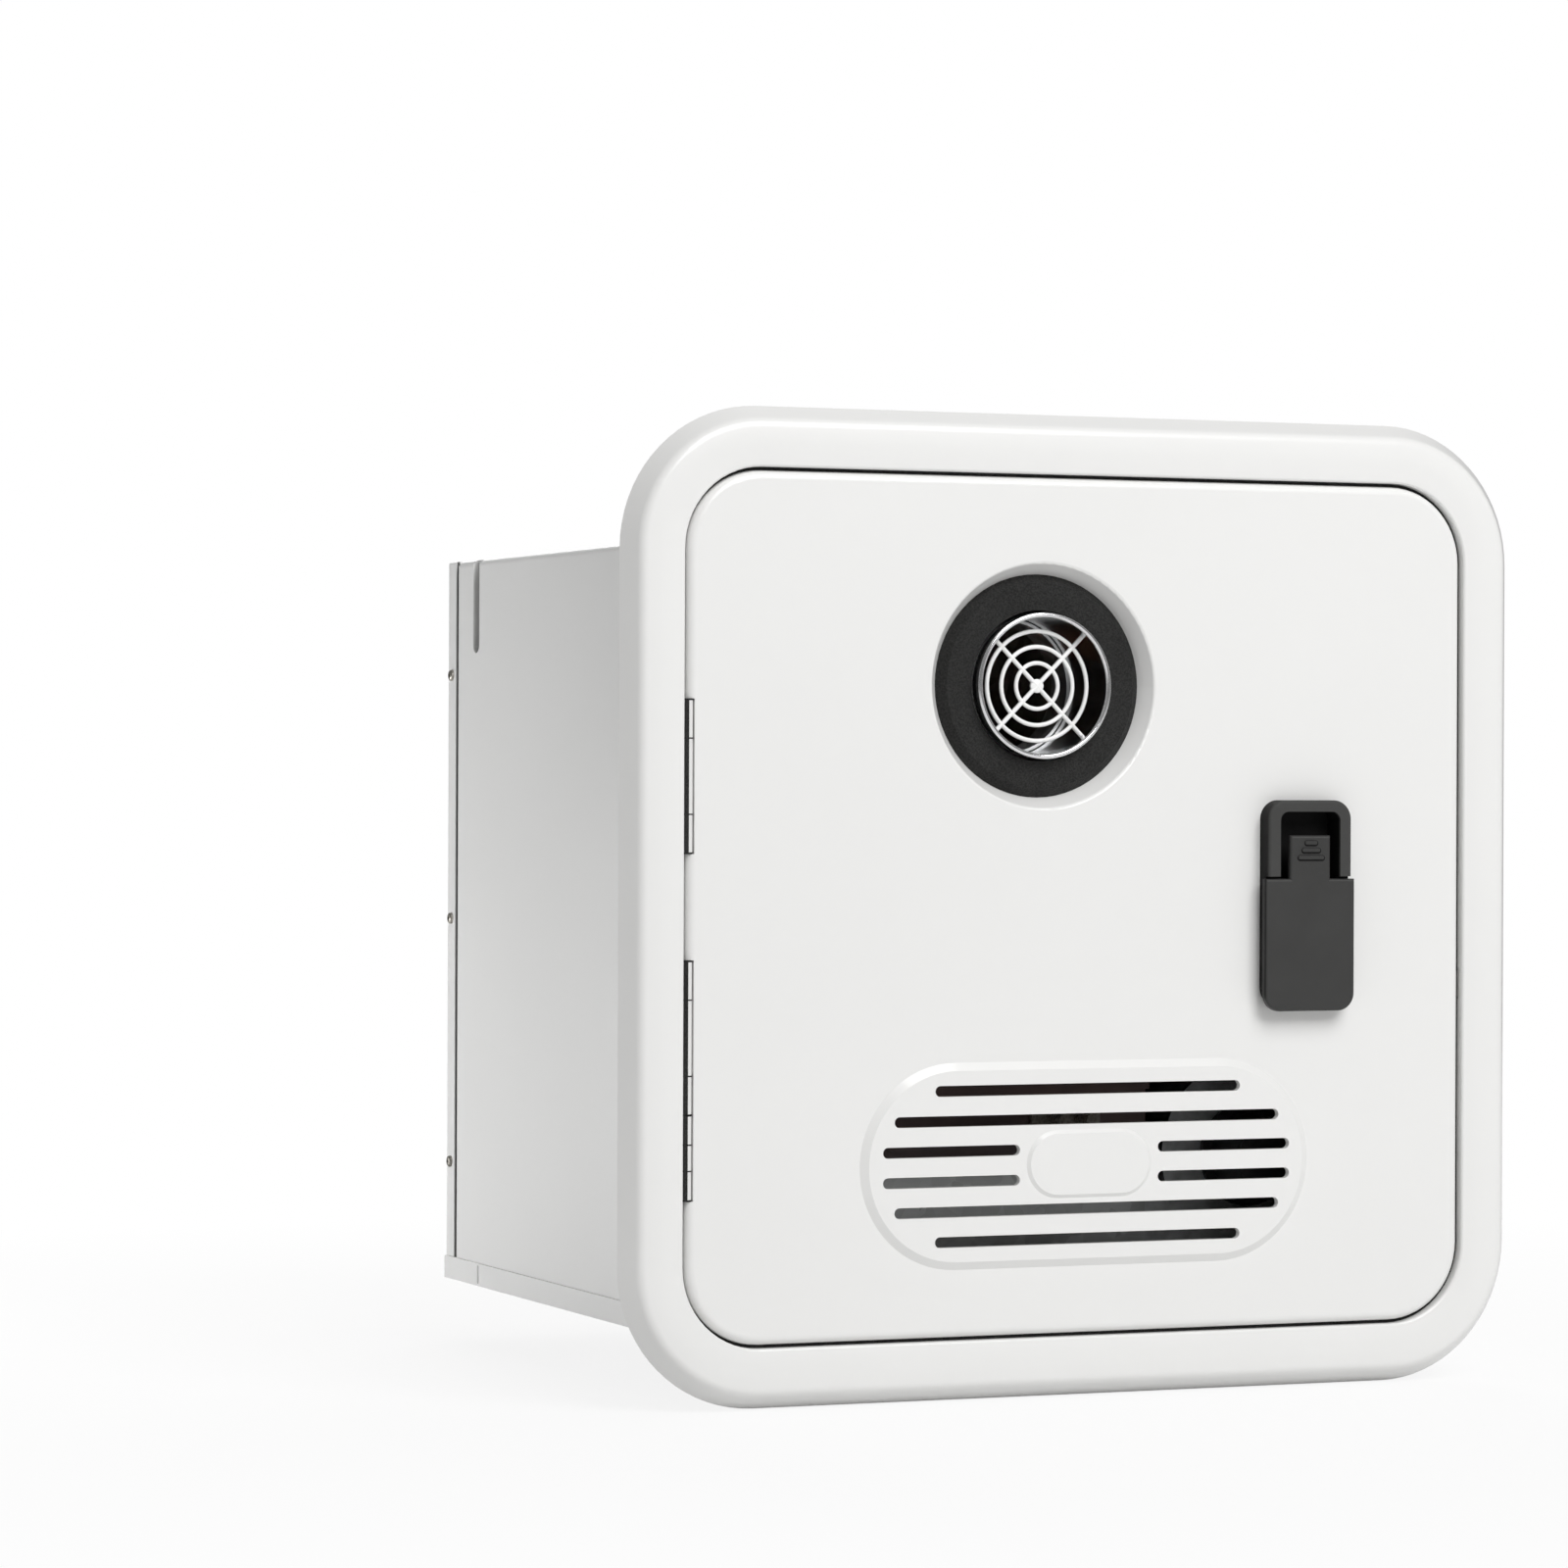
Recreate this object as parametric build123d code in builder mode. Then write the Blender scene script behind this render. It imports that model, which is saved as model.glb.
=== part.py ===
from build123d import *
import math
import os

os.makedirs("parts", exist_ok=True)

# Caravan water heater, built into a wall and served from outside.
# Millimetres. X runs to the right as seen from outside, Y into the vehicle, Z up.
# The origin is the centre of the wall screws, in the plane of the wall's outer face.

overrun = 1.0
seat_gap = 0.3

# Door opening, which the frame, door and casing follow
opening_side = 334.2

# Trim frame round the door
frame_band = 23.4
flange_corner_r = 55.0
frame_depth = 10.0
frame_slope = 4.6
frame_slope_rise = 7.3
frame_face_start = 8.4
frame_face_rise = 9.55
frame_face_peak = 14.0
frame_wall = 1.8
lip_r = 1.2
lip_rise = 7.6
ledge_front = 3.0
ledge_width = 12.7

# Wall plate behind the trim frame
plate_inset = 12.2
plate_thickness = 1.5
plate_lip = 8.0
wall_hole_r = 2.25
wall_hole_inset = 20.0
wall_hole_low_inset = 16.9
wall_hole_end = 43.95
wall_holes_per_side = 4

# Casing, its bottom edge lower than the frame's middle by more than its top is higher
casing_side_inset = 13.1
casing_top_inset = 25.7
casing_bottom_inset = 0.2
casing_depth = 306.0
sheet = 1.0
bend_r = 3.0
left_flange = 9.5
right_flange = 24.0
bottom_flange_left = 9.5
bottom_flange_right = 17.5
joggle_gap = 3.5
groove_width = 8.0
groove_length = 39.7
groove_sink = 2.5
groove_back = 36.0
flange_slot = 4.0

# Door
door_gap = 1.3
door_face = 8.0
door_edge_r = 3.4
door_skin = 2.8
door_rim_wall = 2.0
door_rim_back = 4.3
rib_wall = 1.6
rib_height = 3.0
rib_inset = 17.1

# Exhaust
exhaust_x = -17.8
exhaust_drop = 80.6
recess_r = 47.6
recess_floor_r = 43.3
recess_depth = 7.0
recess_wall = 2.0
recess_soft_r = 1.4
tube_r = 28.35
tube_wall = 1.2
tube_front = 9.0
tube_gap = 1.0
ring_face_r = 39.8
ring_height = 3.5
grille_front = 2.0
grille_wire = 1.5
grille_hub_r = 2.2
grille_ring_radii = (8.9, 15.2, 21.3)
grille_bar_turn = 45.0

# Air louvre
louvre_x = 1.3
louvre_latch_gap = 18.15
louvre_margin = 26.05
louvre_width = 192.2
louvre_rise = 2.0
louvre_slope = 3.1
slot_height = 4.2
slot_pitch_share = 0.14555
slot_short_half = 65.4
slot_long_half = 82.4
slot_side_half = 87.2
slot_side_gap = 29.6
badge_width = 53.5
badge_height = 26.4
badge_rise = 1.0
badge_slope = 1.4

# Latch
latch_inset = 71.35
latch_width = 36.5
latch_top = 41.1
latch_bottom = -40.2
latch_rise = 8.0
latch_corner_r = 7.5
latch_recess_half = 13.2
latch_recess_top = 36.6
latch_recess_r = 3.5
latch_shoulder = 10.2
latch_seat_drop = 3.0
latch_back_width = 31.0
latch_top_cover = 2.6
lever_half = 19.8
lever_thickness = 2.2
lever_bottom = -41.9
lever_corner_r = 7.0
lever_skirt = 3.0
lever_skirt_wall = 1.25
lever_edge_r = 1.2
tongue_half = 8.95
tongue_top = 27.3
ridge_spans = (5.2, 7.8, 11.2)
ridge_pitch = 2.9
ridge_height = 1.5
ridge_rise = 0.6
pivot_z = -34.5
pivot_front = 11.0
pivot_pin_r = 1.5
pivot_clearance = 0.05
lug_r = 2.4
lug_width = 3.0
lug_offset = 9.6
prong_width = 3.0
prong_reach = 8.8
bolt_thickness = 1.4
bolt_front = 5.0
bolt_height = 16.0
bolt_nose_height = 10.0
bolt_short = 0.4
cam_travel = 4.7
cam_turn = 45.0
cam_slot_width = 6.4
lever_turn = 35.0
heel_start = 1.5
latch_floor = 7.2
latch_floor_wall = 2.0
latch_deep_floor = 5.0
latch_end_wall = 1.6
latch_step = 12.5
spring_wire = 0.9
spring_r = 2.2
spring_turns = 4
spring_pitch = 1.15
guide_insets = (41.8, 22.8)
guide_width = 7.0
guide_wall = 1.2
guide_gap = 0.3
latch_clearance = 0.3

# Hinges: middle height, length and end knuckle length of each
hinge_places = ((49.7, 58.0, 14.5), (-49.0, 58.0, 14.5), (-94.2, 32.2, 11.0))
hinge_barrel_r = 1.6
hinge_pin_r = 0.8
hinge_bore_gap = 0.05
hinge_knuckle_gap = 0.3
hinge_leaf = 0.8
hinge_frame_foot = 4.4
hinge_door_leaf_width = 15.0

# Gasket on the frame's ledge
gasket_inset = 5.2
gasket_width = 5.0
gasket_rise = 2.1

# Rear services, measured in from the edges of the rear panel
gas_inset = 22.0
gas_lift = 46.45
water_inset = 36.0
hot_drop = 71.85
cold_lift = 84.25
fitting_r = 10.45
fitting_bore_r = 7.2
fitting_collar_r = 12.0
fitting_collar = 3.0
fitting_length = 18.0
fitting_screw_offset = 19.8
gas_screw_offset = 17.0
fitting_hole_gap = 0.4
fitting_flange = 4.0
fitting_tail = 16.0
fitting_ear_r = 5.5
fitting_chamfer = 1.4
power_inset = 59.6
control_inset = 30.7
socket_drop = 16.25
socket_r = 8.0
socket_hole_gap = 0.2
socket_rise = 7.5
socket_wall = 1.0
socket_body = 9.0
socket_insert_sink = 2.0
socket_pin_r = 0.8
socket_pin_rise = 4.0
power_pin_pitch = 3.6
control_pin_pitch = 3.4
pin_column_count = 2
power_row_count = 1
control_row_count = 2
grommet_inset = 12.3
grommet_drop = 11.55
grommet_r = 5.2
grommet_bore_r = 3.2

# Blank data plate, placed from the middle of the rear panel
plate_x = 11.9
plate_z = 22.4
plate_width = 96.8
plate_height = 70.8
plate_sheet = 0.3

# Heater inside the casing: burner box, chamber, exchanger and hood, one on another
core_left_gap = 64.0
core_right_gap = 104.0
core_front = 40.0
core_depth = 160.0
core_headroom = 25.3
core_wall = 1.2
burner_share = 0.1716
chamber_share = 0.3881
exchanger_share = 0.1343
bead_shares = (0.3, 0.7)
rail_height = 14.0
rail_width = 22.0
rail_wall = 1.2
rail_inset = 24.0
hood_taper = 12.0
sight_r = 8.0
sight_inset = 32.0
bar_count = 9
bar_width = 7.0
bar_height = 16.0
bar_slot = 1.4
deck_thickness = 2.0
tube_count = 4
water_r = 7.0
fin_count = 12
fin_depth = 5.0
port_reach = 3.0

# Fan: scroll housing on the right of the burner box
fan_inset = 56.0
fan_rise = 63.9
fan_r = 38.0
fan_front = 45.0
fan_width = 50.0
fan_wall = 1.2
fan_inlet_r = 22.0
fan_outlet_height = 26.0
fan_foot_width = 30.0
motor_r = 17.0
motor_length = 27.0
motor_flange_r = 21.0
motor_flange = 2.0
motor_boss_r = 6.0
shaft_r = 2.0
shaft_gap = 0.05
impeller_r = 31.0
impeller_eye_r = 22.5
impeller_hub_r = 6.0
impeller_disc = 1.5
impeller_gap = 4.0
blade_count = 24
blade_wall = 1.0
blade_turn = 35.0

# Pipes, gas valve and flow sensor
gas_r = 5.0
water_bend = 15.0
gas_bend = 14.0
valve_inset = 50.0
valve_depth_share = 0.5163
valve_rise = 39.9
valve_width = 34.0
valve_length = 54.0
valve_height = 36.0
valve_coil_r = 11.0
valve_coil_height = 24.0
valve_boss_r = 8.0
valve_boss = 6.0
sensor_back_gap = 90.0
sensor_length = 34.0
sensor_side = 26.0
nut_r = 10.5
nut_length = 5.5

# Control box on the casing's right-hand wall
box_inset = 62.0
box_back_gap = 37.0
box_top_gap = 47.4
box_depth = 118.0
box_height = 108.0
box_corner_r = 4.0
box_vent_count = 6
box_vent_pitch = 9.0
box_vent = 3.0
lid_wall = 2.0

# Igniter and overheat cut-out on the front wall
igniter_inset = 36.0
igniter_share = 0.1923
igniter_pitch = 12.0
igniter_rod_r = 2.6
igniter_reach = 14.0
igniter_flange = (30.0, 16.0)
cutout_inset = 38.0
cutout_r = 8.0
cutout_rise = 6.0
cutout_tab = 3.0

# Service switch
switch_inset = 32.0
switch_drop = 45.4
switch_front = 24.0
switch_plate_width = 34.0
switch_plate_height = 44.0
switch_width = 14.0
switch_height = 26.0
switch_body = 18.0
switch_bezel = 2.0
rocker_side_gap = 0.5
rocker_end_gap = 1.2
rocker_back = 0.5
rocker_width = 9.0
rocker_height = 20.0
rocker_pivot = 4.0
rocker_pin_r = 1.0

# Worked out from the sizes above
flange_side = opening_side + 2 * frame_band
flange_half = flange_side / 2
opening_half = opening_side / 2
opening_corner_r = flange_corner_r - frame_band
plate_side = flange_side - 2 * plate_inset
plate_corner_r = flange_corner_r - plate_inset
wall_hole_pitch = (flange_side - 2 * wall_hole_end) / (wall_holes_per_side - 1)
door_side = opening_side - 2 * door_gap
door_half = door_side / 2
door_corner_r = opening_corner_r - door_gap
skin_back = door_face - door_skin
rib_half = opening_half - rib_inset
casing_half = opening_half - casing_side_inset
casing_top = opening_half - casing_top_inset
casing_bottom = casing_bottom_inset - opening_half
casing_middle = (casing_top + casing_bottom) / 2
casing_height = casing_top - casing_bottom
floor_top = casing_bottom + sheet
panel_in = casing_depth - sheet
groove_depth = casing_depth - groove_back
exhaust_z = door_half - exhaust_drop
louvre_top = lever_bottom - louvre_latch_gap
louvre_height = louvre_top + door_half - louvre_margin
louvre_z = louvre_top - louvre_height / 2
slot_pitch = slot_pitch_share * louvre_height
latch_x = door_half - latch_inset
latch_front = door_face + latch_rise
louvre_front = door_face + louvre_rise
hinge_x = -door_half + hinge_barrel_r - door_gap / 2
hinge_front = door_face - hinge_barrel_r
gas_place = (casing_half - gas_inset, casing_bottom + gas_lift)
hot_place = (water_inset - casing_half, casing_top - hot_drop)
cold_place = (water_inset - casing_half, casing_bottom + cold_lift)
fitting_places = (hot_place, cold_place, gas_place)
power_place = (power_inset - casing_half, casing_top - socket_drop)
control_place = (control_inset - casing_half, casing_top - socket_drop)
grommet_place = (grommet_inset - casing_half, casing_top - grommet_drop)
core_left = core_left_gap - casing_half
core_right = casing_half - core_right_gap
core_width = core_right - core_left
core_back = core_front + core_depth
core_x = (core_left + core_right) / 2
core_y = (core_front + core_back) / 2
burner_base = floor_top + rail_height
hood_top = casing_top - core_headroom
core_height = hood_top - burner_base
burner_height = burner_share * core_height
chamber_height = chamber_share * core_height
exchanger_height = exchanger_share * core_height
chamber_base = burner_base + burner_height
exchanger_base = chamber_base + chamber_height
exchanger_mid = exchanger_base + exchanger_height / 2
hood_base = exchanger_base + exchanger_height
fan_x = casing_half - fan_inset
fan_z = floor_top + fan_rise
fan_back = fan_front + fan_width
valve_x = casing_half - valve_inset
valve_y = valve_depth_share * casing_depth
valve_z = floor_top + valve_rise
sensor_y = panel_in - sensor_back_gap
box_left = casing_half - box_inset
box_right = casing_half - sheet
box_front = panel_in - box_back_gap - box_depth
box_bottom = casing_top - box_top_gap - box_height
switch_x = casing_half - switch_inset
switch_z = casing_top - switch_drop


def facing(front):
    """Plane square to the wall, seen from outside, that far in front of the wall."""
    return Plane.XZ.offset(front)


def across(x, y, z):
    """Plane whose x is depth and y is height, seen from the right-hand side."""
    return Plane(origin=(x, y, z), x_dir=(0, 1, 0), z_dir=(1, 0, 0))


def round_axis(x, z):
    """Plane for turned shapes whose axis runs into the vehicle: x is radius, y is depth."""
    return Plane(origin=(x, 0, z), x_dir=(1, 0, 0), z_dir=(0, 0, 1))


def depth_axis(x, z):
    return Axis((x, 0, z), (0, 1, 0))


tray_half = casing_half + sheet
fitting_makes = (
    ("hot_water_fitting", hot_place, fitting_screw_offset, 0),
    ("cold_water_fitting", cold_place, fitting_screw_offset, 0),
    ("gas_fitting", gas_place, gas_screw_offset, 90),
)
# Trim frame: one hollow moulded section, run straight along each side and turned at each corner
frame_inner_slope = frame_slope + frame_wall
frame_inner_rise = frame_face_rise - frame_wall
straight_half = flange_half - flange_corner_r


def bottom_side(x):
    """Plane across the frame's bottom side: x runs up from its edge, y to the front."""
    return Plane(origin=(x, 0, -flange_half), x_dir=(0, 0, 1), z_dir=(1, 0, 0))


def frame_profile():
    """The frame's hollow section, from its outer edge to the ledge behind the door."""
    with BuildSketch() as profile:
        with BuildLine():
            Line((0, 0), (frame_slope, frame_slope_rise))
            TangentArc(
                (frame_slope, frame_slope_rise),
                (frame_face_start, frame_face_rise),
                tangent=(frame_slope, frame_slope_rise),
            )
            ThreePointArc(
                (frame_face_start, frame_face_rise),
                (frame_face_peak, frame_depth),
                (frame_band - lip_r, lip_rise + lip_r),
            )
            RadiusArc(
                (frame_band - lip_r, lip_rise + lip_r),
                (frame_band, lip_rise),
                lip_r,
            )
            Polyline(
                (frame_band, lip_rise),
                (frame_band, ledge_front),
                (frame_band + ledge_width, ledge_front),
                (frame_band + ledge_width, plate_thickness),
                (frame_band - frame_wall, plate_thickness),
                (frame_band - frame_wall, frame_inner_rise - lip_r),
                (frame_inner_slope + frame_wall, frame_inner_rise),
                (frame_inner_slope, frame_slope_rise - frame_wall),
                (frame_wall, 0),
                (0, 0),
            )
        make_face()
    return profile.sketch


with BuildPart() as frame_quarter:
    with BuildSketch(bottom_side(-straight_half)):
        add(frame_profile())
    extrude(amount=2 * straight_half)
    with BuildSketch(bottom_side(straight_half)):
        add(frame_profile())
    corner_middle = (straight_half, 0, -straight_half)
    revolve(axis=Axis(corner_middle, (0, -1, 0)), revolution_arc=90)
with BuildPart() as door_frame:
    for quarter_turn in (0, 90, 180, 270):
        add(frame_quarter.part, rotation=(0, quarter_turn, 0))
    # Keep for the latch bolt in the right-hand rebate wall
    keep_height = bolt_nose_height + 2 * door_gap
    with BuildSketch(facing(bolt_front + latch_clearance)):
        with Locations((opening_half + frame_wall / 2, pivot_z + cam_travel / 2)):
            Rectangle(2 * frame_wall, keep_height)
    extrude(amount=-(bolt_thickness + 2 * latch_clearance), mode=Mode.SUBTRACT)
door_frame.part.label = "door_frame"
export_step(door_frame.part, "parts/door_frame.step")

# Wall plate, screwed to the caravan wall through its edge holes
with BuildPart() as wall_plate:
    with BuildSketch(facing(0)):
        RectangleRounded(plate_side, plate_side, plate_corner_r)
        with Locations((0, casing_middle)):
            Rectangle(
                2 * (casing_half - plate_lip),
                casing_height - 2 * plate_lip,
                mode=Mode.SUBTRACT,
            )
        side_spacing = flange_side - 2 * wall_hole_inset
        with GridLocations(side_spacing, wall_hole_pitch, 2, wall_holes_per_side):
            Circle(wall_hole_r, mode=Mode.SUBTRACT)
        top_row = flange_half - wall_hole_inset
        bottom_row = wall_hole_low_inset - flange_half
        with Locations((0, top_row), (0, bottom_row)):
            with GridLocations(wall_hole_pitch, 0, wall_holes_per_side, 1):
                Circle(wall_hole_r, mode=Mode.SUBTRACT)
    extrude(amount=plate_thickness)
wall_plate.part.label = "wall_plate"
export_step(wall_plate.part, "parts/wall_plate.step")

# Casing wrapper: one sheet bent over both sides and the top
wrap_end = casing_depth - left_flange - joggle_gap
joggle_end = casing_depth - sheet


def wrapper_fill(inset, bend):
    """The bent sheet's outline filled in, open towards the floor."""
    side = casing_half - inset
    with BuildSketch() as fill:
        with BuildLine():
            FilletPolyline(
                (-side, floor_top),
                (-side, casing_top - inset),
                (side, casing_top - inset),
                (side, floor_top),
                radius=bend,
            )
            Line((side, floor_top), (-side, floor_top))
        make_face()
    return fill.sketch


with BuildPart() as casing_wrapper:
    with BuildSketch(facing(0)):
        add(wrapper_fill(0, bend_r))
    extrude(amount=-wrap_end)
    with BuildSketch(facing(-wrap_end)):
        add(wrapper_fill(sheet, bend_r - sheet))
    extrude(amount=-(joggle_end - wrap_end))
    with BuildSketch(facing(0)):
        add(wrapper_fill(sheet, bend_r - sheet))
    extrude(amount=-(wrap_end - sheet), mode=Mode.SUBTRACT)
    with BuildSketch(facing(0)):
        add(wrapper_fill(2 * sheet, bend_r - 2 * sheet))
    extrude(amount=-joggle_end, mode=Mode.SUBTRACT)
    # Groove pressed into the left side, running out over the bend
    groove_end = casing_top - groove_length + groove_width / 2
    groove_back_r = groove_width / 2 + sheet
    with BuildSketch(across(sheet - casing_half, groove_depth, groove_end)):
        Circle(groove_back_r)
        Rectangle(
            2 * groove_back_r,
            casing_top - sheet - groove_end,
            align=(Align.CENTER, Align.MIN),
        )
    extrude(amount=groove_sink)
    with BuildSketch(across(-casing_half, groove_depth, groove_end)):
        Circle(groove_width / 2)
        Rectangle(
            groove_width,
            casing_top + overrun - groove_end,
            align=(Align.CENTER, Align.MIN),
        )
    extrude(amount=groove_sink, both=True, mode=Mode.SUBTRACT)
casing_wrapper.part.label = "casing_wrapper"
export_step(casing_wrapper.part, "parts/casing_wrapper.step")

# Bottom tray, its side flanges lapped over the wrapper
with BuildPart() as bottom_tray:
    with BuildSketch(facing(0)):
        with BuildLine():
            Polyline(
                (-tray_half, casing_bottom + bottom_flange_left),
                (-tray_half, casing_bottom),
                (tray_half, casing_bottom),
                (tray_half, casing_bottom + bottom_flange_right),
                (casing_half, casing_bottom + bottom_flange_right),
                (casing_half, floor_top),
                (-casing_half, floor_top),
                (-casing_half, casing_bottom + bottom_flange_left),
                (-tray_half, casing_bottom + bottom_flange_left),
            )
        make_face()
    extrude(amount=-casing_depth)
    # Small slot in the left flange
    slot_height_on_flange = casing_bottom + bottom_flange_left / 2
    slot_depth_on_flange = groove_depth - groove_width
    with BuildSketch(across(-tray_half, slot_depth_on_flange, slot_height_on_flange)):
        SlotOverall(2 * flange_slot, flange_slot / 2, rotation=90)
    extrude(amount=2 * sheet, both=True, mode=Mode.SUBTRACT)
bottom_tray.part.label = "bottom_tray"
export_step(bottom_tray.part, "parts/bottom_tray.step")

# Rear cover: a shallow tray that caps the wrapper, with a deeper flange lapped on the right
cover_bottom = floor_top
lap_bottom = casing_bottom + bottom_flange_right
lap_top = casing_top - bend_r
with BuildPart() as rear_cover:
    with BuildSketch(facing(-casing_depth)):
        with BuildLine():
            FilletPolyline(
                (-casing_half, cover_bottom),
                (-casing_half, casing_top),
                (casing_half, casing_top),
                (casing_half, cover_bottom),
                radius=sheet,
            )
            Line((casing_half, cover_bottom), (-casing_half, cover_bottom))
        make_face()
    extrude(amount=left_flange)
    with BuildSketch(facing(-casing_depth + sheet)):
        with Locations((0, casing_middle - sheet / 2)):
            Rectangle(2 * (casing_half - sheet), casing_height - sheet)
    extrude(amount=left_flange, mode=Mode.SUBTRACT)
    with BuildSketch(facing(-casing_depth)):
        with Locations((casing_half, lap_bottom)):
            Rectangle(sheet, lap_top - lap_bottom, align=(Align.MIN, Align.MIN))
    extrude(amount=right_flange)
    with BuildSketch(facing(-casing_depth)):
        with Locations(*fitting_places):
            Circle(fitting_collar_r + fitting_hole_gap)
        with Locations(power_place, control_place):
            Circle(socket_r - sheet + socket_hole_gap)
        with Locations(grommet_place):
            Circle(grommet_r - sheet)
    extrude(amount=2 * sheet, both=True, mode=Mode.SUBTRACT)
rear_cover.part.label = "rear_cover"
export_step(rear_cover.part, "parts/rear_cover.step")

# Door panel: moulded skin with a rim, an exhaust recess, a louvre and stiffening ribs
louvre_taper = math.degrees(math.atan2(louvre_slope, louvre_rise))
badge_taper = math.degrees(math.atan2(badge_slope, badge_rise))
recess_floor = door_face - recess_depth
with BuildPart() as door_panel:
    with BuildSketch(facing(door_rim_back)):
        RectangleRounded(door_side, door_side, door_corner_r)
    extrude(amount=door_face - door_rim_back)
    fillet(door_panel.faces().sort_by(Axis.Y)[0].edges(), door_edge_r)
    # Moulded plateau and badge land of the louvre
    with BuildSketch(facing(door_face)):
        with Locations((louvre_x, louvre_z)):
            SlotOverall(louvre_width, louvre_height)
    extrude(amount=louvre_rise, taper=louvre_taper)
    with BuildSketch(facing(louvre_front)):
        with Locations((louvre_x, louvre_z)):
            SlotOverall(badge_width, badge_height)
    extrude(amount=badge_rise, taper=badge_taper)
    # Hollow back, leaving the rim
    rim_inside = door_side - 2 * door_rim_wall
    with BuildSketch(facing(skin_back)):
        RectangleRounded(rim_inside, rim_inside, door_corner_r - door_rim_wall)
    extrude(amount=-door_skin, mode=Mode.SUBTRACT)
    with BuildSketch(facing(skin_back)):
        with Locations((louvre_x, louvre_z)):
            SlotOverall(louvre_width - 2 * door_skin, louvre_height - 2 * door_skin)
    extrude(amount=louvre_rise, taper=louvre_taper / 2, mode=Mode.SUBTRACT)
    # Ribs inside the frame's ledge, broken for the latch bolt
    with BuildSketch(facing(skin_back)):
        RectangleRounded(2 * rib_half, 2 * rib_half, opening_corner_r / 2)
        RectangleRounded(
            2 * (rib_half - rib_wall),
            2 * (rib_half - rib_wall),
            opening_corner_r / 2 - rib_wall,
            mode=Mode.SUBTRACT,
        )
        with Locations((rib_half, pivot_z + cam_travel / 2)):
            Rectangle(4 * rib_wall, bolt_height + 4 * rib_wall, mode=Mode.SUBTRACT)
        with Locations((0, 0)):
            Rectangle(2 * rib_half - rib_wall, rib_wall)
        with Locations((latch_x, (latch_top + latch_bottom) / 2)):
            Rectangle(
                latch_width + 4 * rib_wall,
                latch_top - latch_bottom + 4 * rib_wall,
                mode=Mode.SUBTRACT,
            )
    extrude(amount=-rib_height)
    # Dished recess round the exhaust
    with BuildSketch(round_axis(exhaust_x, exhaust_z)):
        with BuildLine():
            Polyline(
                (recess_r + recess_wall, -skin_back),
                (recess_floor_r + recess_wall, recess_wall - recess_floor),
                (0, recess_wall - recess_floor),
                (0, -skin_back),
                (recess_r + recess_wall, -skin_back),
            )
        make_face()
    revolve(axis=depth_axis(exhaust_x, exhaust_z))
    with BuildSketch(round_axis(exhaust_x, exhaust_z)):
        with BuildLine():
            Polyline(
                (0, -door_face - overrun),
                (recess_r, -door_face - overrun),
                (recess_r, -door_face),
                (recess_floor_r, -recess_floor),
                (tube_r + tube_gap, -recess_floor),
                (tube_r + tube_gap, recess_wall - recess_floor + overrun),
                (0, recess_wall - recess_floor + overrun),
                (0, -door_face - overrun),
            )
        make_face()
    revolve(axis=depth_axis(exhaust_x, exhaust_z), mode=Mode.SUBTRACT)
    mouth = door_panel.edges().filter_by(GeomType.CIRCLE)
    mouth = mouth.filter_by(lambda edge: abs(edge.radius - recess_r) < recess_soft_r / 4)
    fillet(mouth.sort_by(Axis.Y)[0], recess_soft_r)
    # Louvre slots
    slot_depth = louvre_front + overrun
    with BuildSketch(facing(0)):
        for row in (-1, 1):
            middle = louvre_z + row * slot_pitch
            with Locations((louvre_x, middle + row * 1.5 * slot_pitch)):
                SlotOverall(2 * slot_short_half, slot_height)
            with Locations((louvre_x, middle + row * slot_pitch / 2)):
                SlotOverall(2 * slot_long_half, slot_height)
            side_length = slot_side_half - slot_side_gap
            side_middle = (slot_side_half + slot_side_gap) / 2
            for side in (-1, 1):
                with Locations((louvre_x + side * side_middle, middle - row * slot_pitch / 2)):
                    SlotOverall(side_length, slot_height)
    extrude(amount=slot_depth, mode=Mode.SUBTRACT)
    # Opening for the back of the latch
    back_bottom = latch_bottom + latch_end_wall
    back_height = latch_top - latch_top_cover - back_bottom
    with BuildSketch(facing(0)):
        with Locations((latch_x, back_bottom + back_height / 2)):
            RectangleRounded(latch_back_width, back_height, latch_recess_r)
    extrude(amount=door_face, mode=Mode.SUBTRACT)
    # Notches for the hinge barrels and seats for their leaves
    for middle, length, knuckle in hinge_places:
        notch = length + 2 * hinge_knuckle_gap
        notch_half = hinge_barrel_r + hinge_knuckle_gap
        with BuildSketch(facing(0)):
            with Locations((hinge_x + notch_half, middle)):
                Rectangle(6 * notch_half, notch, align=(Align.MAX, Align.CENTER))
        extrude(amount=door_face, mode=Mode.SUBTRACT)
        with BuildSketch(facing(skin_back + hinge_leaf)):
            with Locations((hinge_x, middle)):
                Rectangle(hinge_door_leaf_width, notch, align=(Align.MIN, Align.CENTER))
        extrude(amount=-door_skin, mode=Mode.SUBTRACT)
    # Way out for the bolt's nose
    with BuildSketch(facing(bolt_front + latch_clearance)):
        with Locations((door_half, pivot_z + cam_travel / 2)):
            Rectangle(3 * door_rim_wall, bolt_nose_height + 2 * latch_clearance)
    extrude(amount=-door_skin, mode=Mode.SUBTRACT)
door_panel.part.label = "door_panel"
export_step(door_panel.part, "parts/door_panel.step")

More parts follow.
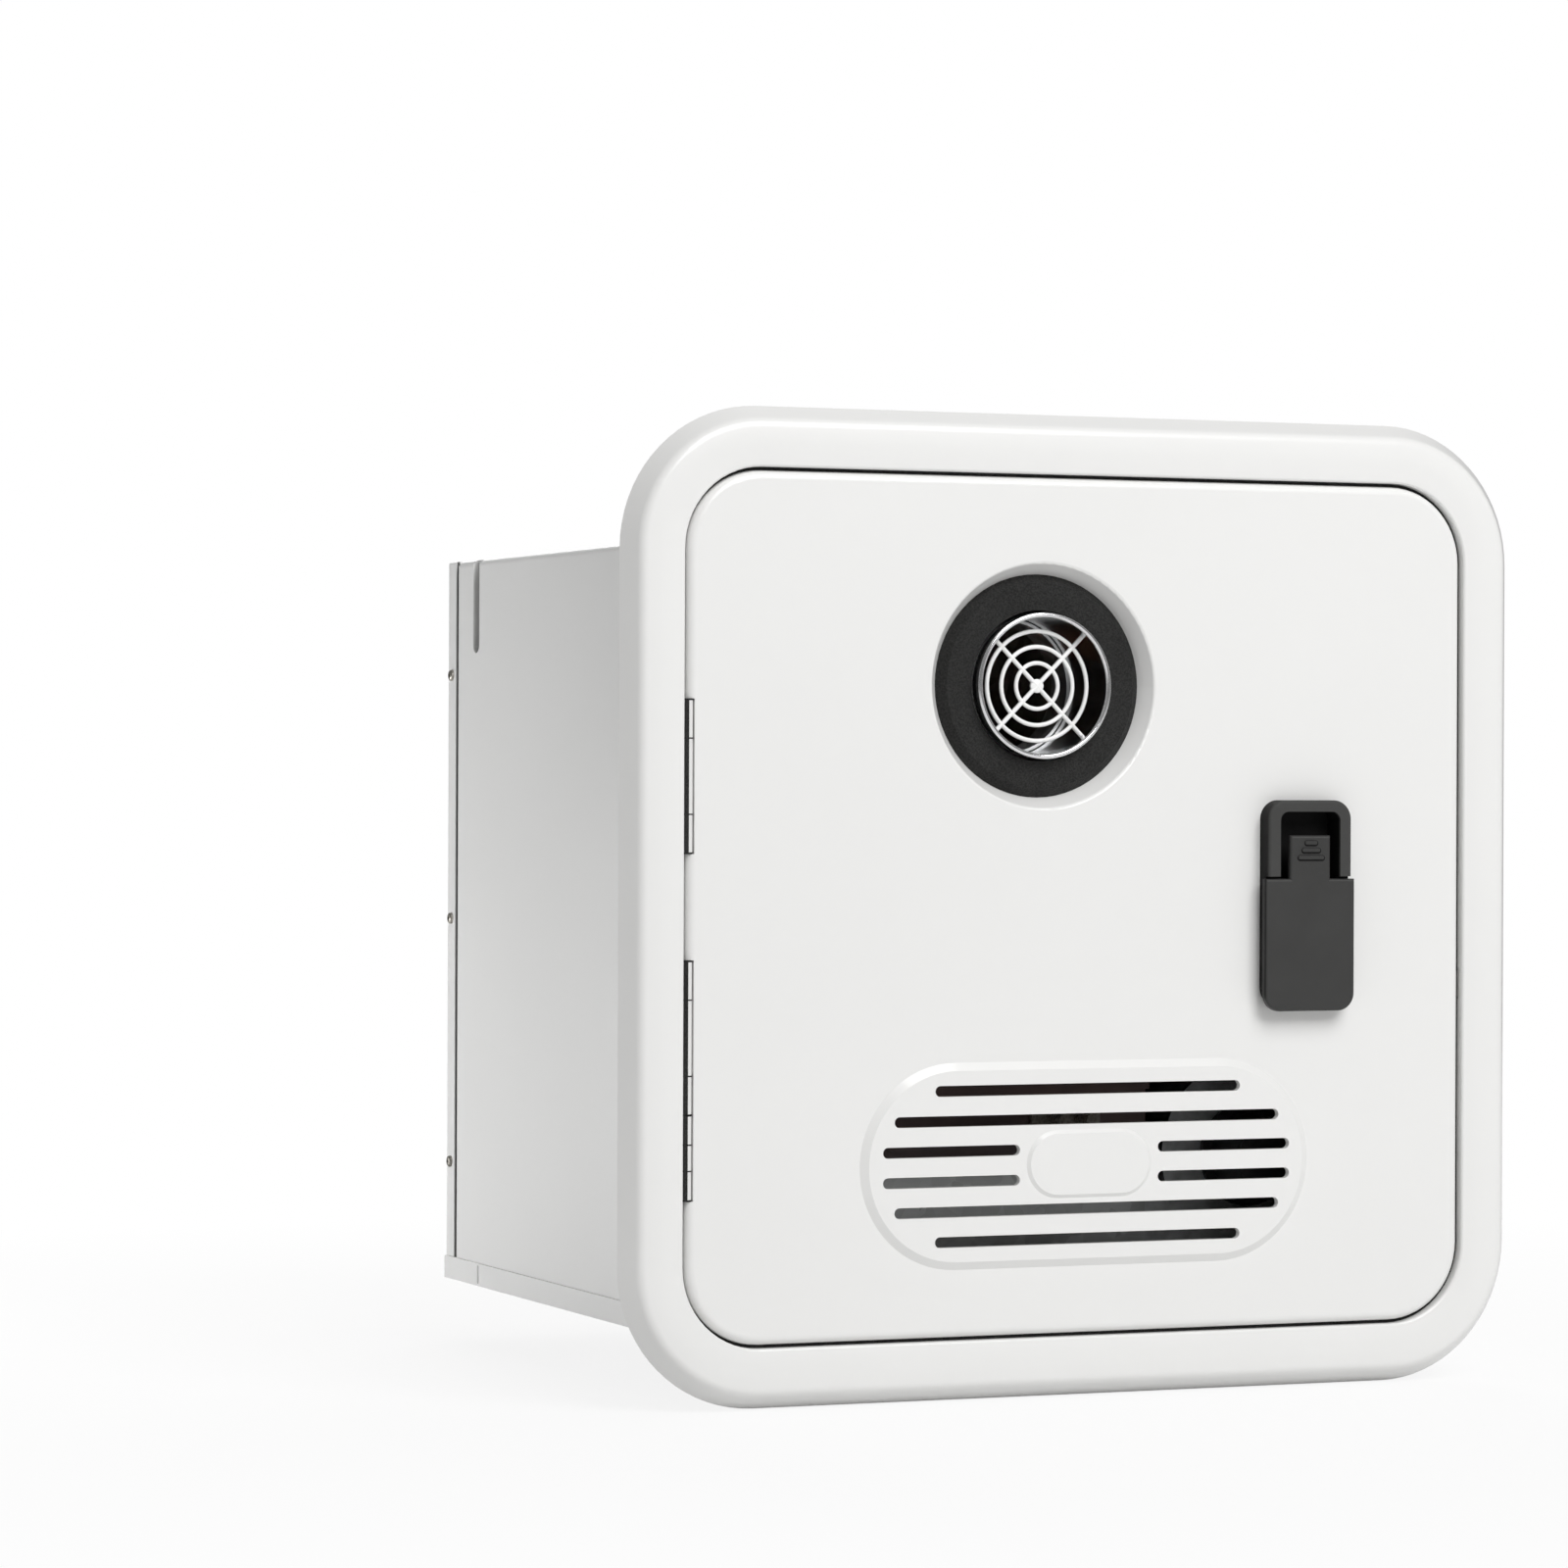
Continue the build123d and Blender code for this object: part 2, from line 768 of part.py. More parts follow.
# Foam gasket on the ledge, broken where the bolt crosses it
gasket_side = opening_side - 2 * gasket_inset
gasket_corner_r = opening_corner_r - gasket_inset
with BuildPart() as door_gasket:
    with BuildSketch(facing(ledge_front)):
        RectangleRounded(gasket_side, gasket_side, gasket_corner_r)
        RectangleRounded(
            gasket_side - 2 * gasket_width,
            gasket_side - 2 * gasket_width,
            gasket_corner_r - gasket_width,
            mode=Mode.SUBTRACT,
        )
        with Locations((gasket_side / 2, pivot_z + cam_travel / 2)):
            Rectangle(4 * gasket_width, bolt_nose_height + gasket_rise, mode=Mode.SUBTRACT)
    extrude(amount=gasket_rise)
door_gasket.part.label = "door_gasket"
export_step(door_gasket.part, "parts/door_gasket.step")

# Hinges: one leaf on the frame's ledge, one behind the door's skin, and a pin
hinge_bore_r = hinge_pin_r + hinge_bore_gap
hinge_clear = hinge_barrel_r + hinge_knuckle_gap
with BuildPart() as hinge_frame_leaves:
    for middle, length, knuckle in hinge_places:
        foot_edge = hinge_x - hinge_barrel_r
        with BuildSketch(facing(ledge_front)):
            with Locations((foot_edge, middle)):
                Rectangle(hinge_frame_foot, length, align=(Align.MIN, Align.CENTER))
        extrude(amount=hinge_leaf)
        for end in (-1, 1):
            end_middle = middle + end * (length - knuckle) / 2
            with BuildSketch(facing(ledge_front)):
                with Locations((foot_edge, end_middle)):
                    Rectangle(hinge_leaf, knuckle, align=(Align.MIN, Align.CENTER))
            extrude(amount=hinge_front - ledge_front)
            with BuildSketch(Plane.XY.offset(end_middle - knuckle / 2)):
                with Locations((hinge_x, -hinge_front)):
                    Circle(hinge_barrel_r)
            extrude(amount=knuckle)
        with BuildSketch(Plane.XY.offset(middle - length / 2)):
            with Locations((hinge_x, -hinge_front)):
                Circle(hinge_bore_r)
        extrude(amount=length, mode=Mode.SUBTRACT)
hinge_frame_leaves.part.label = "hinge_frame_leaves"
export_step(hinge_frame_leaves.part, "parts/hinge_frame_leaves.step")

with BuildPart() as hinge_door_leaves:
    for middle, length, knuckle in hinge_places:
        inner = length - 2 * knuckle - 2 * hinge_knuckle_gap
        with BuildSketch(facing(skin_back)):
            with Locations((hinge_x + hinge_clear, middle)):
                Rectangle(hinge_door_leaf_width - hinge_clear, length, align=(Align.MIN, Align.CENTER))
            with Locations((hinge_x, middle)):
                Rectangle(hinge_clear, inner, align=(Align.MIN, Align.CENTER))
        extrude(amount=hinge_leaf)
        with BuildSketch(Plane.XY.offset(middle - inner / 2)):
            with Locations((hinge_x, -hinge_front)):
                Circle(hinge_barrel_r)
        extrude(amount=inner)
        with BuildSketch(Plane.XY.offset(middle - inner / 2)):
            with Locations((hinge_x, -hinge_front)):
                Circle(hinge_bore_r)
        extrude(amount=inner, mode=Mode.SUBTRACT)
hinge_door_leaves.part.label = "hinge_door_leaves"
export_step(hinge_door_leaves.part, "parts/hinge_door_leaves.step")

with BuildPart() as hinge_pins:
    for middle, length, knuckle in hinge_places:
        with BuildSketch(Plane.XY.offset(middle - length / 2)):
            with Locations((hinge_x, -hinge_front)):
                Circle(hinge_pin_r)
        extrude(amount=length)
hinge_pins.part.label = "hinge_pins"
export_step(hinge_pins.part, "parts/hinge_pins.step")

# Latch housing: a raised block with a finger recess, lower where the lever lies on it
latch_middle = (latch_top + latch_bottom) / 2
latch_seat = latch_front - latch_seat_drop
latch_end = latch_bottom + latch_end_wall
step_z = pivot_z + latch_step
pivot_bore_r = pivot_pin_r + pivot_clearance
heel_run = pivot_z - heel_start - latch_bottom
with BuildPart() as latch_housing:
    with BuildSketch(facing(door_face)):
        with Locations((latch_x, latch_middle)):
            RectangleRounded(latch_width, latch_top - latch_bottom, latch_corner_r)
    extrude(amount=latch_rise)
    fillet(latch_housing.faces().sort_by(Axis.Y)[0].edges(), lever_edge_r)
    back_width = latch_back_width - 2 * latch_clearance
    back_low = back_bottom + latch_clearance
    back_top = back_bottom + back_height - latch_clearance
    with BuildSketch(facing(skin_back)):
        with Locations((latch_x, back_low)):
            RectangleRounded(
                back_width,
                back_top - back_low,
                latch_recess_r,
                align=(Align.CENTER, Align.MIN),
            )
    extrude(amount=door_skin)
    with BuildSketch(facing(latch_deep_floor - latch_floor_wall)):
        with Locations((latch_x, step_z)):
            RectangleRounded(
                back_width,
                back_top - step_z,
                latch_recess_r,
                align=(Align.CENTER, Align.MIN),
            )
    extrude(amount=door_face - latch_deep_floor + latch_floor_wall)
    # Seat for the lever, with a sloping heel that clears it as it swings
    shoulder_z = latch_shoulder + 3 * latch_clearance
    with BuildSketch(across(latch_x, 0, 0)):
        with BuildLine():
            Polyline(
                (-latch_front - overrun, shoulder_z),
                (-latch_seat, shoulder_z),
                (-latch_seat, pivot_z - heel_start),
                (-latch_seat + heel_run * math.tan(math.radians(lever_turn)), latch_bottom),
                (-latch_seat + heel_run * math.tan(math.radians(lever_turn)), latch_bottom - overrun),
                (-latch_front - overrun, latch_bottom - overrun),
                (-latch_front - overrun, shoulder_z),
            )
        make_face()
    extrude(amount=latch_width, both=True, mode=Mode.SUBTRACT)
    # Finger recess and the well that the lever's lugs sit in
    with BuildSketch(facing(latch_front + overrun)):
        with Locations((latch_x, latch_recess_top)):
            RectangleRounded(
                2 * latch_recess_half,
                latch_recess_top - latch_end,
                latch_recess_r,
                align=(Align.CENTER, Align.MAX),
            )
    extrude(amount=latch_floor - latch_front - overrun, mode=Mode.SUBTRACT)
    with BuildSketch(facing(latch_front)):
        with Locations((latch_x, latch_recess_top)):
            RectangleRounded(
                2 * latch_recess_half,
                latch_recess_top - step_z - latch_floor_wall,
                latch_recess_r,
                align=(Align.CENTER, Align.MAX),
            )
    extrude(amount=latch_deep_floor - latch_front, mode=Mode.SUBTRACT)
    # Slot for the lever's prong
    with BuildSketch(facing(0)):
        with Locations((latch_x, pivot_z + cam_travel / 2)):
            Rectangle(prong_width + 4 * latch_clearance, 2 * prong_width + cam_travel)
    extrude(amount=latch_floor + overrun, mode=Mode.SUBTRACT)
    # Bearings for the pin
    with BuildSketch(across(latch_x, 0, 0)):
        with Locations((-pivot_front, pivot_z)):
            Circle(pivot_bore_r)
    extrude(amount=latch_width, both=True, mode=Mode.SUBTRACT)
latch_housing.part.label = "latch_housing"
export_step(latch_housing.part, "parts/latch_housing.step")

# Latch lever: a T-shaped cover with skirts, lugs on the pin and a prong for the bolt
lever_back = latch_front - lever_thickness
with BuildPart() as latch_lever:
    with BuildSketch(facing(latch_front - lever_skirt)) as lever_outline:
        with Locations((latch_x, latch_shoulder)):
            Rectangle(2 * lever_half, latch_shoulder - lever_bottom, align=(Align.CENTER, Align.MAX))
        fillet(lever_outline.vertices().group_by(Axis.Y)[0], lever_corner_r)
        with Locations((latch_x, latch_shoulder - lever_skirt)):
            Rectangle(
                2 * tongue_half,
                tongue_top - latch_shoulder + lever_skirt,
                align=(Align.CENTER, Align.MIN),
            )
    extrude(amount=lever_skirt)
    fillet(latch_lever.faces().sort_by(Axis.Y)[0].edges(), lever_edge_r)
    inner_half = lever_half - lever_skirt_wall
    pocket_bottom = lever_bottom + lever_skirt_wall
    with BuildSketch(facing(latch_front - lever_skirt)) as lever_pocket:
        with Locations((latch_x, pocket_bottom)):
            Rectangle(2 * inner_half, tongue_top - pocket_bottom + overrun, align=(Align.CENTER, Align.MIN))
        fillet(lever_pocket.vertices().group_by(Axis.Y)[0], lever_corner_r - lever_skirt_wall)
    extrude(amount=lever_skirt - lever_thickness, mode=Mode.SUBTRACT)
    # Grip ridges, wider downwards
    with BuildSketch(facing(latch_front - ridge_rise)):
        for row, span in enumerate(ridge_spans):
            with Locations((latch_x, tongue_top - (row + 1) * ridge_pitch)):
                SlotOverall(span, ridge_height)
    extrude(amount=2 * ridge_rise)
    for place in (-lug_offset, 0, lug_offset):
        width = lug_width if place else prong_width
        with BuildSketch(across(latch_x + place, 0, 0)):
            with Locations((-pivot_front, pivot_z)):
                Circle(lug_r)
            with Locations((-lever_back - lever_thickness / 2, pivot_z)):
                Rectangle(
                    lever_back + lever_thickness / 2 - pivot_front,
                    2 * lug_r,
                    align=(Align.MIN, Align.CENTER),
                )
        extrude(amount=width / 2, both=True)
    with BuildSketch(across(latch_x, 0, 0)):
        with Locations((-pivot_front, pivot_z)):
            Rectangle(prong_reach, prong_width, align=(Align.MIN, Align.CENTER))
    extrude(amount=prong_width / 2, both=True)
    with BuildSketch(across(latch_x, 0, 0)):
        with Locations((-pivot_front, pivot_z)):
            Circle(pivot_bore_r)
    extrude(amount=latch_width / 2 - latch_clearance, both=True, mode=Mode.SUBTRACT)
latch_lever.part.label = "latch_lever"
export_step(latch_lever.part, "parts/latch_lever.step")

with BuildPart() as latch_pin:
    with BuildSketch(across(latch_x, 0, 0)):
        with Locations((-pivot_front, pivot_z)):
            Circle(pivot_pin_r)
    extrude(amount=latch_width / 2 - latch_clearance, both=True)
latch_pin.part.label = "latch_pin"
export_step(latch_pin.part, "parts/latch_pin.step")

# Return spring, wound on the pin between the lug and the prong
spring_start = latch_x - lug_offset + lug_width / 2 + spring_wire
with BuildPart() as latch_spring:
    with BuildLine() as coil:
        Helix(
            spring_pitch,
            spring_pitch * spring_turns,
            spring_r,
            center=(spring_start, -pivot_front, pivot_z),
            direction=(1, 0, 0),
        )
    with BuildSketch(Plane(coil.line @ 0, z_dir=coil.line % 0)):
        Rectangle(spring_wire, spring_wire)
    sweep(path=coil.line, is_frenet=True)
latch_spring.part.label = "latch_spring"
export_step(latch_spring.part, "parts/latch_spring.step")

# Latch bolt: a sliding bar whose sloping slot is driven by the prong
bolt_z = pivot_z + cam_travel / 2
cam_end_r = cam_slot_width / 2
bolt_start = latch_x - 2 * cam_end_r
bolt_head_end = latch_x + cam_travel + 2 * cam_end_r
bolt_tip = opening_half - bolt_short
with BuildPart() as latch_bolt:
    with BuildSketch(facing(bolt_front - bolt_thickness)):
        with Locations((bolt_start, bolt_z)):
            Rectangle(bolt_head_end - bolt_start, bolt_height, align=(Align.MIN, Align.CENTER))
            Rectangle(bolt_tip - bolt_start, bolt_nose_height, align=(Align.MIN, Align.CENTER))
        with Locations((latch_x + cam_travel / 2, bolt_z)):
            cam_length = math.hypot(cam_travel, cam_travel)
            SlotCenterToCenter(cam_length, cam_slot_width, rotation=cam_turn, mode=Mode.SUBTRACT)
    extrude(amount=bolt_thickness)
    nose_edges = latch_bolt.faces().sort_by(Axis.X)[-1].edges().filter_by(Axis.Z)
    chamfer(nose_edges.sort_by(Axis.Y)[0], bolt_thickness / 2)
latch_bolt.part.label = "latch_bolt"
export_step(latch_bolt.part, "parts/latch_bolt.step")

# Straps that keep the bolt against the door's back
with BuildPart() as bolt_guides:
    for inset in guide_insets:
        way = bolt_nose_height + 2 * guide_gap
        strap_back = bolt_front - bolt_thickness - guide_gap
        with BuildSketch(across(door_half - inset, 0, bolt_z)):
            with Locations((-skin_back, 0)):
                Rectangle(
                    skin_back - strap_back + guide_wall,
                    way + 2 * guide_wall,
                    align=(Align.MIN, Align.CENTER),
                )
                Rectangle(
                    guide_wall,
                    way + 8 * guide_wall,
                    align=(Align.MIN, Align.CENTER),
                )
                Rectangle(
                    skin_back - strap_back,
                    way,
                    align=(Align.MIN, Align.CENTER),
                    mode=Mode.SUBTRACT,
                )
        extrude(amount=guide_width)
bolt_guides.part.label = "bolt_guides"
export_step(bolt_guides.part, "parts/bolt_guides.step")

# Exhaust: rubber ring in the door's recess, bright tube on the heater, wire guard
with BuildPart() as exhaust_ring:
    with BuildSketch(round_axis(exhaust_x, exhaust_z)):
        with BuildLine():
            Polyline(
                (tube_r + tube_gap, -recess_floor),
                (recess_floor_r, -recess_floor),
                (ring_face_r, -recess_floor - ring_height),
                (tube_r + tube_gap, -recess_floor - ring_height),
                (tube_r + tube_gap, -recess_floor),
            )
        make_face()
    revolve(axis=depth_axis(exhaust_x, exhaust_z))
exhaust_ring.part.label = "exhaust_ring"
export_step(exhaust_ring.part, "parts/exhaust_ring.step")


collar_r = tube_r - tube_wall - seat_gap
tube_back = core_front - seat_gap
with BuildPart() as exhaust_tube:
    with BuildSketch(facing(tube_front)):
        with Locations((exhaust_x, exhaust_z)):
            Circle(tube_r)
            Circle(tube_r - tube_wall, mode=Mode.SUBTRACT)
    extrude(amount=-(tube_front + tube_back))
    fillet(exhaust_tube.faces().sort_by(Axis.Y)[0].edges(), tube_wall / 3)
exhaust_tube.part.label = "exhaust_tube"
export_step(exhaust_tube.part, "parts/exhaust_tube.step")

with BuildPart() as exhaust_grille:
    with BuildSketch(facing(grille_front - grille_wire)):
        with Locations((exhaust_x, exhaust_z)):
            for ring_r in sorted(grille_ring_radii, reverse=True):
                Circle(ring_r + grille_wire / 2)
                Circle(ring_r - grille_wire / 2, mode=Mode.SUBTRACT)
    extrude(amount=grille_wire)
    with BuildSketch(facing(grille_front - grille_wire)):
        with Locations((exhaust_x, exhaust_z)):
            guard_length = 2 * (tube_r - tube_wall - tube_wall / 8)
            Rectangle(guard_length, grille_wire, rotation=grille_bar_turn)
            Rectangle(guard_length, grille_wire, rotation=-grille_bar_turn)
            Circle(grille_hub_r)
    extrude(amount=grille_wire)
exhaust_grille.part.label = "exhaust_grille"
export_step(exhaust_grille.part, "parts/exhaust_grille.step")

# Rails on the tray's floor that carry the heater
with BuildPart() as support_rails:
    for y in (core_front + rail_inset, core_back - rail_inset):
        with BuildSketch(across(core_left, y, floor_top)):
            Rectangle(rail_width, rail_height, align=(Align.CENTER, Align.MIN))
            Rectangle(
                rail_width - 2 * rail_wall,
                rail_height - rail_wall,
                align=(Align.CENTER, Align.MIN),
                mode=Mode.SUBTRACT,
            )
        extrude(amount=core_width)
support_rails.part.label = "support_rails"
export_step(support_rails.part, "parts/support_rails.step")

fan_outlet_z = fan_z - fan_r + fan_outlet_height / 2

with BuildPart() as burner_box:
    with BuildSketch(Plane.XY.offset(burner_base)):
        with Locations((core_x, core_y)):
            Rectangle(core_width, core_depth)
    extrude(amount=burner_height)
    with BuildSketch(Plane.XY.offset(burner_base + core_wall)):
        with Locations((core_x, core_y)):
            Rectangle(core_width - 2 * core_wall, core_depth - 2 * core_wall)
    extrude(amount=burner_height, mode=Mode.SUBTRACT)
    with BuildSketch(across(core_right, fan_front + fan_width / 2, fan_outlet_z)):
        Rectangle(fan_width - 4 * fan_wall, fan_outlet_height - 4 * fan_wall)
    extrude(amount=2 * core_wall, both=True, mode=Mode.SUBTRACT)
burner_box.part.label = "burner_box"
export_step(burner_box.part, "parts/burner_box.step")

# Burner: a deck of flame bars across the box
bar_pitch = (core_width - 4 * core_wall) / bar_count
deck_z = chamber_base - bar_height
with BuildPart() as burner:
    with BuildSketch(Plane.XY.offset(deck_z - deck_thickness)):
        with Locations((core_x, core_y)):
            Rectangle(
                core_width - 2 * core_wall - 2 * seat_gap,
                core_depth - 2 * core_wall - 2 * seat_gap,
            )
    extrude(amount=deck_thickness)
    with BuildSketch(Plane.XY.offset(deck_z)):
        with Locations((core_x, core_y)):
            with GridLocations(bar_pitch, 0, bar_count, 1):
                Rectangle(bar_width, core_depth - 8 * core_wall)
                Rectangle(bar_slot, core_depth - 16 * core_wall, mode=Mode.SUBTRACT)
    extrude(amount=bar_height - seat_gap)
burner.part.label = "burner"
export_step(burner.part, "parts/burner.step")

with BuildPart() as combustion_chamber:
    with BuildSketch(Plane.XY.offset(chamber_base)):
        with Locations((core_x, core_y)):
            Rectangle(core_width, core_depth)
            Rectangle(core_width - 2 * core_wall, core_depth - 2 * core_wall, mode=Mode.SUBTRACT)
    extrude(amount=chamber_height)
    # Rolled stiffening beads round the walls
    for share in bead_shares:
        with BuildSketch(Plane.XY.offset(chamber_base + share * chamber_height)):
            with Locations((core_x, core_y)):
                Rectangle(core_width + 2 * core_wall, core_depth + 2 * core_wall)
                Rectangle(core_width, core_depth, mode=Mode.SUBTRACT)
        extrude(amount=2 * core_wall)
    with BuildSketch(facing(-core_front)):
        with Locations((core_left + sight_inset, chamber_base + sight_r * 2)):
            Circle(sight_r)
    extrude(amount=core_wall)
combustion_chamber.part.label = "combustion_chamber"
export_step(combustion_chamber.part, "parts/combustion_chamber.step")

# Heat exchanger: a finned block with tubes that turn back outside its end walls
tube_pitch = (core_depth - 4 * water_r) / tube_count
tube_start = core_y - tube_pitch * (tube_count - 1) / 2
with BuildPart() as heat_exchanger:
    with BuildSketch(Plane.XY.offset(exchanger_base)):
        with Locations((core_x, core_y)):
            Rectangle(core_width, core_depth)
    extrude(amount=exchanger_height)
    # Fins show as grooves on the underside
    fin_pitch = core_width / fin_count
    with BuildSketch(Plane.XY.offset(exchanger_base)):
        with Locations((core_x, core_y)):
            with GridLocations(fin_pitch, 0, fin_count - 1, 1):
                Rectangle(fin_pitch / 2, core_depth - 8 * core_wall)
    extrude(amount=fin_depth, mode=Mode.SUBTRACT)
    for index in range(tube_count - 1):
        side = 1 if index % 2 == 0 else -1
        wall_x = core_right if side > 0 else core_left
        bend_y = tube_start + (index + 0.5) * tube_pitch
        with BuildSketch(across(wall_x, bend_y, exchanger_mid)):
            with Locations((tube_pitch / 2, 0)):
                Circle(water_r)
        revolve(axis=Axis((wall_x, bend_y, exchanger_mid), (0, 0, 1)), revolution_arc=-180 * side)
    for port_y in (tube_start, tube_start + (tube_count - 1) * tube_pitch):
        with BuildSketch(across(core_left - port_reach, port_y, exchanger_mid)):
            Circle(water_r)
        extrude(amount=port_reach)
heat_exchanger.part.label = "heat_exchanger"
export_step(heat_exchanger.part, "parts/heat_exchanger.step")

# Flue hood, tapered towards the top, with a collar inside the exhaust tube
collar_front = core_front - tube_r / 2
with BuildPart() as flue_hood:
    with BuildSketch(across(core_left, 0, 0)):
        with BuildLine():
            Polyline(
                (core_front, hood_base),
                (core_back, hood_base),
                (core_back, hood_base + hood_taper),
                (core_back - 4 * hood_taper, hood_top),
                (core_front, hood_top),
                (core_front, hood_base),
            )
        make_face()
    extrude(amount=core_width)
    fillet(flue_hood.edges().filter_by(Axis.X).group_by(Axis.Z)[-1], hood_taper / 4)
    offset(amount=-core_wall, openings=flue_hood.faces().sort_by(Axis.Z)[0])
    with BuildSketch(facing(-collar_front)):
        with Locations((exhaust_x, exhaust_z)):
            Circle(collar_r)
    extrude(amount=collar_front - core_front)
    with BuildSketch(facing(-collar_front)):
        with Locations((exhaust_x, exhaust_z)):
            Circle(collar_r - core_wall)
    extrude(amount=collar_front - core_front - 2 * core_wall, mode=Mode.SUBTRACT)
flue_hood.part.label = "flue_hood"
export_step(flue_hood.part, "parts/flue_hood.step")

with BuildPart() as fan_housing:
    with BuildSketch(facing(-fan_front)):
        with Locations((fan_x, fan_z)):
            Circle(fan_r)
        with Locations((core_right, fan_z - fan_r)):
            Rectangle(fan_x - core_right, fan_outlet_height, align=(Align.MIN, Align.MIN))
    extrude(amount=-fan_width)
    with BuildSketch(facing(-fan_front - fan_wall)):
        with Locations((fan_x, fan_z)):
            Circle(fan_r - fan_wall)
        with Locations((core_right - fan_wall, fan_z - fan_r + fan_wall)):
            Rectangle(
                fan_x - core_right + fan_wall,
                fan_outlet_height - 2 * fan_wall,
                align=(Align.MIN, Align.MIN),
            )
    extrude(amount=-(fan_width - 2 * fan_wall), mode=Mode.SUBTRACT)
    with BuildSketch(facing(-fan_back)):
        with Locations((fan_x, fan_z)):
            Circle(fan_inlet_r)
    extrude(amount=2 * fan_wall, both=True, mode=Mode.SUBTRACT)
    with BuildSketch(facing(-fan_front)):
        with Locations((fan_x, fan_z)):
            Circle(motor_boss_r + seat_gap)
    extrude(amount=2 * fan_wall, both=True, mode=Mode.SUBTRACT)
fan_housing.part.label = "fan_housing"
export_step(fan_housing.part, "parts/fan_housing.step")

with BuildPart() as fan_motor:
    with BuildSketch(round_axis(fan_x, fan_z)):
        with BuildLine():
            Polyline(
                (shaft_r + shaft_gap, fan_front + fan_wall),
                (motor_boss_r, fan_front + fan_wall),
                (motor_boss_r, fan_front),
                (motor_flange_r, fan_front),
                (motor_flange_r, fan_front - motor_flange),
                (motor_r, fan_front - motor_flange),
                (motor_r, fan_front - motor_length),
                (0, fan_front - motor_length),
                (0, fan_front - motor_length / 2),
                (shaft_r + shaft_gap, fan_front - motor_length / 2),
                (shaft_r + shaft_gap, fan_front + fan_wall),
            )
        make_face()
    revolve(axis=depth_axis(fan_x, fan_z))
fan_motor.part.label = "fan_motor"
export_step(fan_motor.part, "parts/fan_motor.step")

impeller_front = fan_front + fan_wall + impeller_gap
impeller_back = fan_back - fan_wall - impeller_gap
with BuildPart() as fan_impeller:
    with BuildSketch(facing(-impeller_front)):
        with Locations((fan_x, fan_z)):
            Circle(impeller_r)
            Circle(shaft_r, mode=Mode.SUBTRACT)
    extrude(amount=-impeller_disc)
    with BuildSketch(facing(-impeller_front)):
        with Locations((fan_x, fan_z)):
            Circle(impeller_hub_r)
            Circle(shaft_r, mode=Mode.SUBTRACT)
    extrude(amount=-4 * impeller_gap)
    # Forward-curved blades between the disc and the rim ring
    blade_depth = impeller_back - impeller_front
    chord = (impeller_r - impeller_eye_r) / 2
    with BuildSketch(facing(-impeller_front)):
        with Locations((fan_x, fan_z)):
            with PolarLocations(impeller_eye_r + chord, blade_count):
                Rectangle(2 * chord - blade_wall / 2, blade_wall, rotation=blade_turn)
    extrude(amount=-blade_depth)
    with BuildSketch(facing(-impeller_back)):
        with Locations((fan_x, fan_z)):
            Circle(impeller_r)
            Circle(impeller_eye_r, mode=Mode.SUBTRACT)
    extrude(amount=impeller_disc)
fan_impeller.part.label = "fan_impeller"
export_step(fan_impeller.part, "parts/fan_impeller.step")

with BuildPart() as fan_shaft:
    with BuildSketch(facing(-fan_front + motor_length / 2 - seat_gap)):
        with Locations((fan_x, fan_z)):
            Circle(shaft_r)
    extrude(amount=-(motor_length / 2 - seat_gap + fan_wall + 5 * impeller_gap))
fan_shaft.part.label = "fan_shaft"
export_step(fan_shaft.part, "parts/fan_shaft.step")

# Saddle between the scroll and the tray's floor
with BuildPart() as fan_bracket:
    with BuildSketch(facing(-fan_front)):
        with Locations((fan_x, floor_top)):
            Rectangle(fan_foot_width, fan_z - fan_r - floor_top, align=(Align.CENTER, Align.MIN))
            Rectangle(
                fan_foot_width - 2 * fan_wall,
                fan_z - fan_r - floor_top - fan_wall,
                align=(Align.CENTER, Align.MIN),
                mode=Mode.SUBTRACT,
            )
    extrude(amount=-fan_width)
fan_bracket.part.label = "fan_bracket"
export_step(fan_bracket.part, "parts/fan_bracket.step")

# Rear fittings: brass, threaded outside, held by an oval flange behind the panel


def fitting_outline(ear_offset):
    """Oval flange with two ears, drawn with the ears on the sketch's X axis."""
    with BuildSketch() as outline:
        Circle(fitting_collar_r + sheet)
        with Locations((ear_offset, 0), (-ear_offset, 0)):
            Circle(fitting_ear_r)
        Rectangle(2 * ear_offset, 2 * fitting_ear_r)
    return outline.sketch


for name, place, ear_offset, turn in fitting_makes:
    with BuildPart() as fitting:
        with BuildSketch(facing(-panel_in)):
            with Locations(Location(place, turn)):
                add(fitting_outline(ear_offset))
        extrude(amount=fitting_flange)
        with BuildSketch(facing(-panel_in)):
            with Locations(place):
                Circle(fitting_collar_r)
        extrude(amount=-(sheet + fitting_collar))
        with BuildSketch(facing(-casing_depth)):
            with Locations(place):
                Circle(fitting_r)
        extrude(amount=-fitting_length)
        chamfer(fitting.faces().sort_by(Axis.Y)[-1].edges(), fitting_chamfer)
        with BuildSketch(facing(-panel_in)):
            with Locations(place):
                Circle(fitting_bore_r + 2 * sheet)
        extrude(amount=fitting_tail)
        with BuildSketch(facing(-casing_depth - fitting_length)):
            with Locations(place):
                Circle(fitting_bore_r)
        extrude(amount=fitting_length + fitting_tail + 2 * sheet, mode=Mode.SUBTRACT)
    fitting.part.label = name
    export_step(fitting.part, "parts/" + name + ".step")

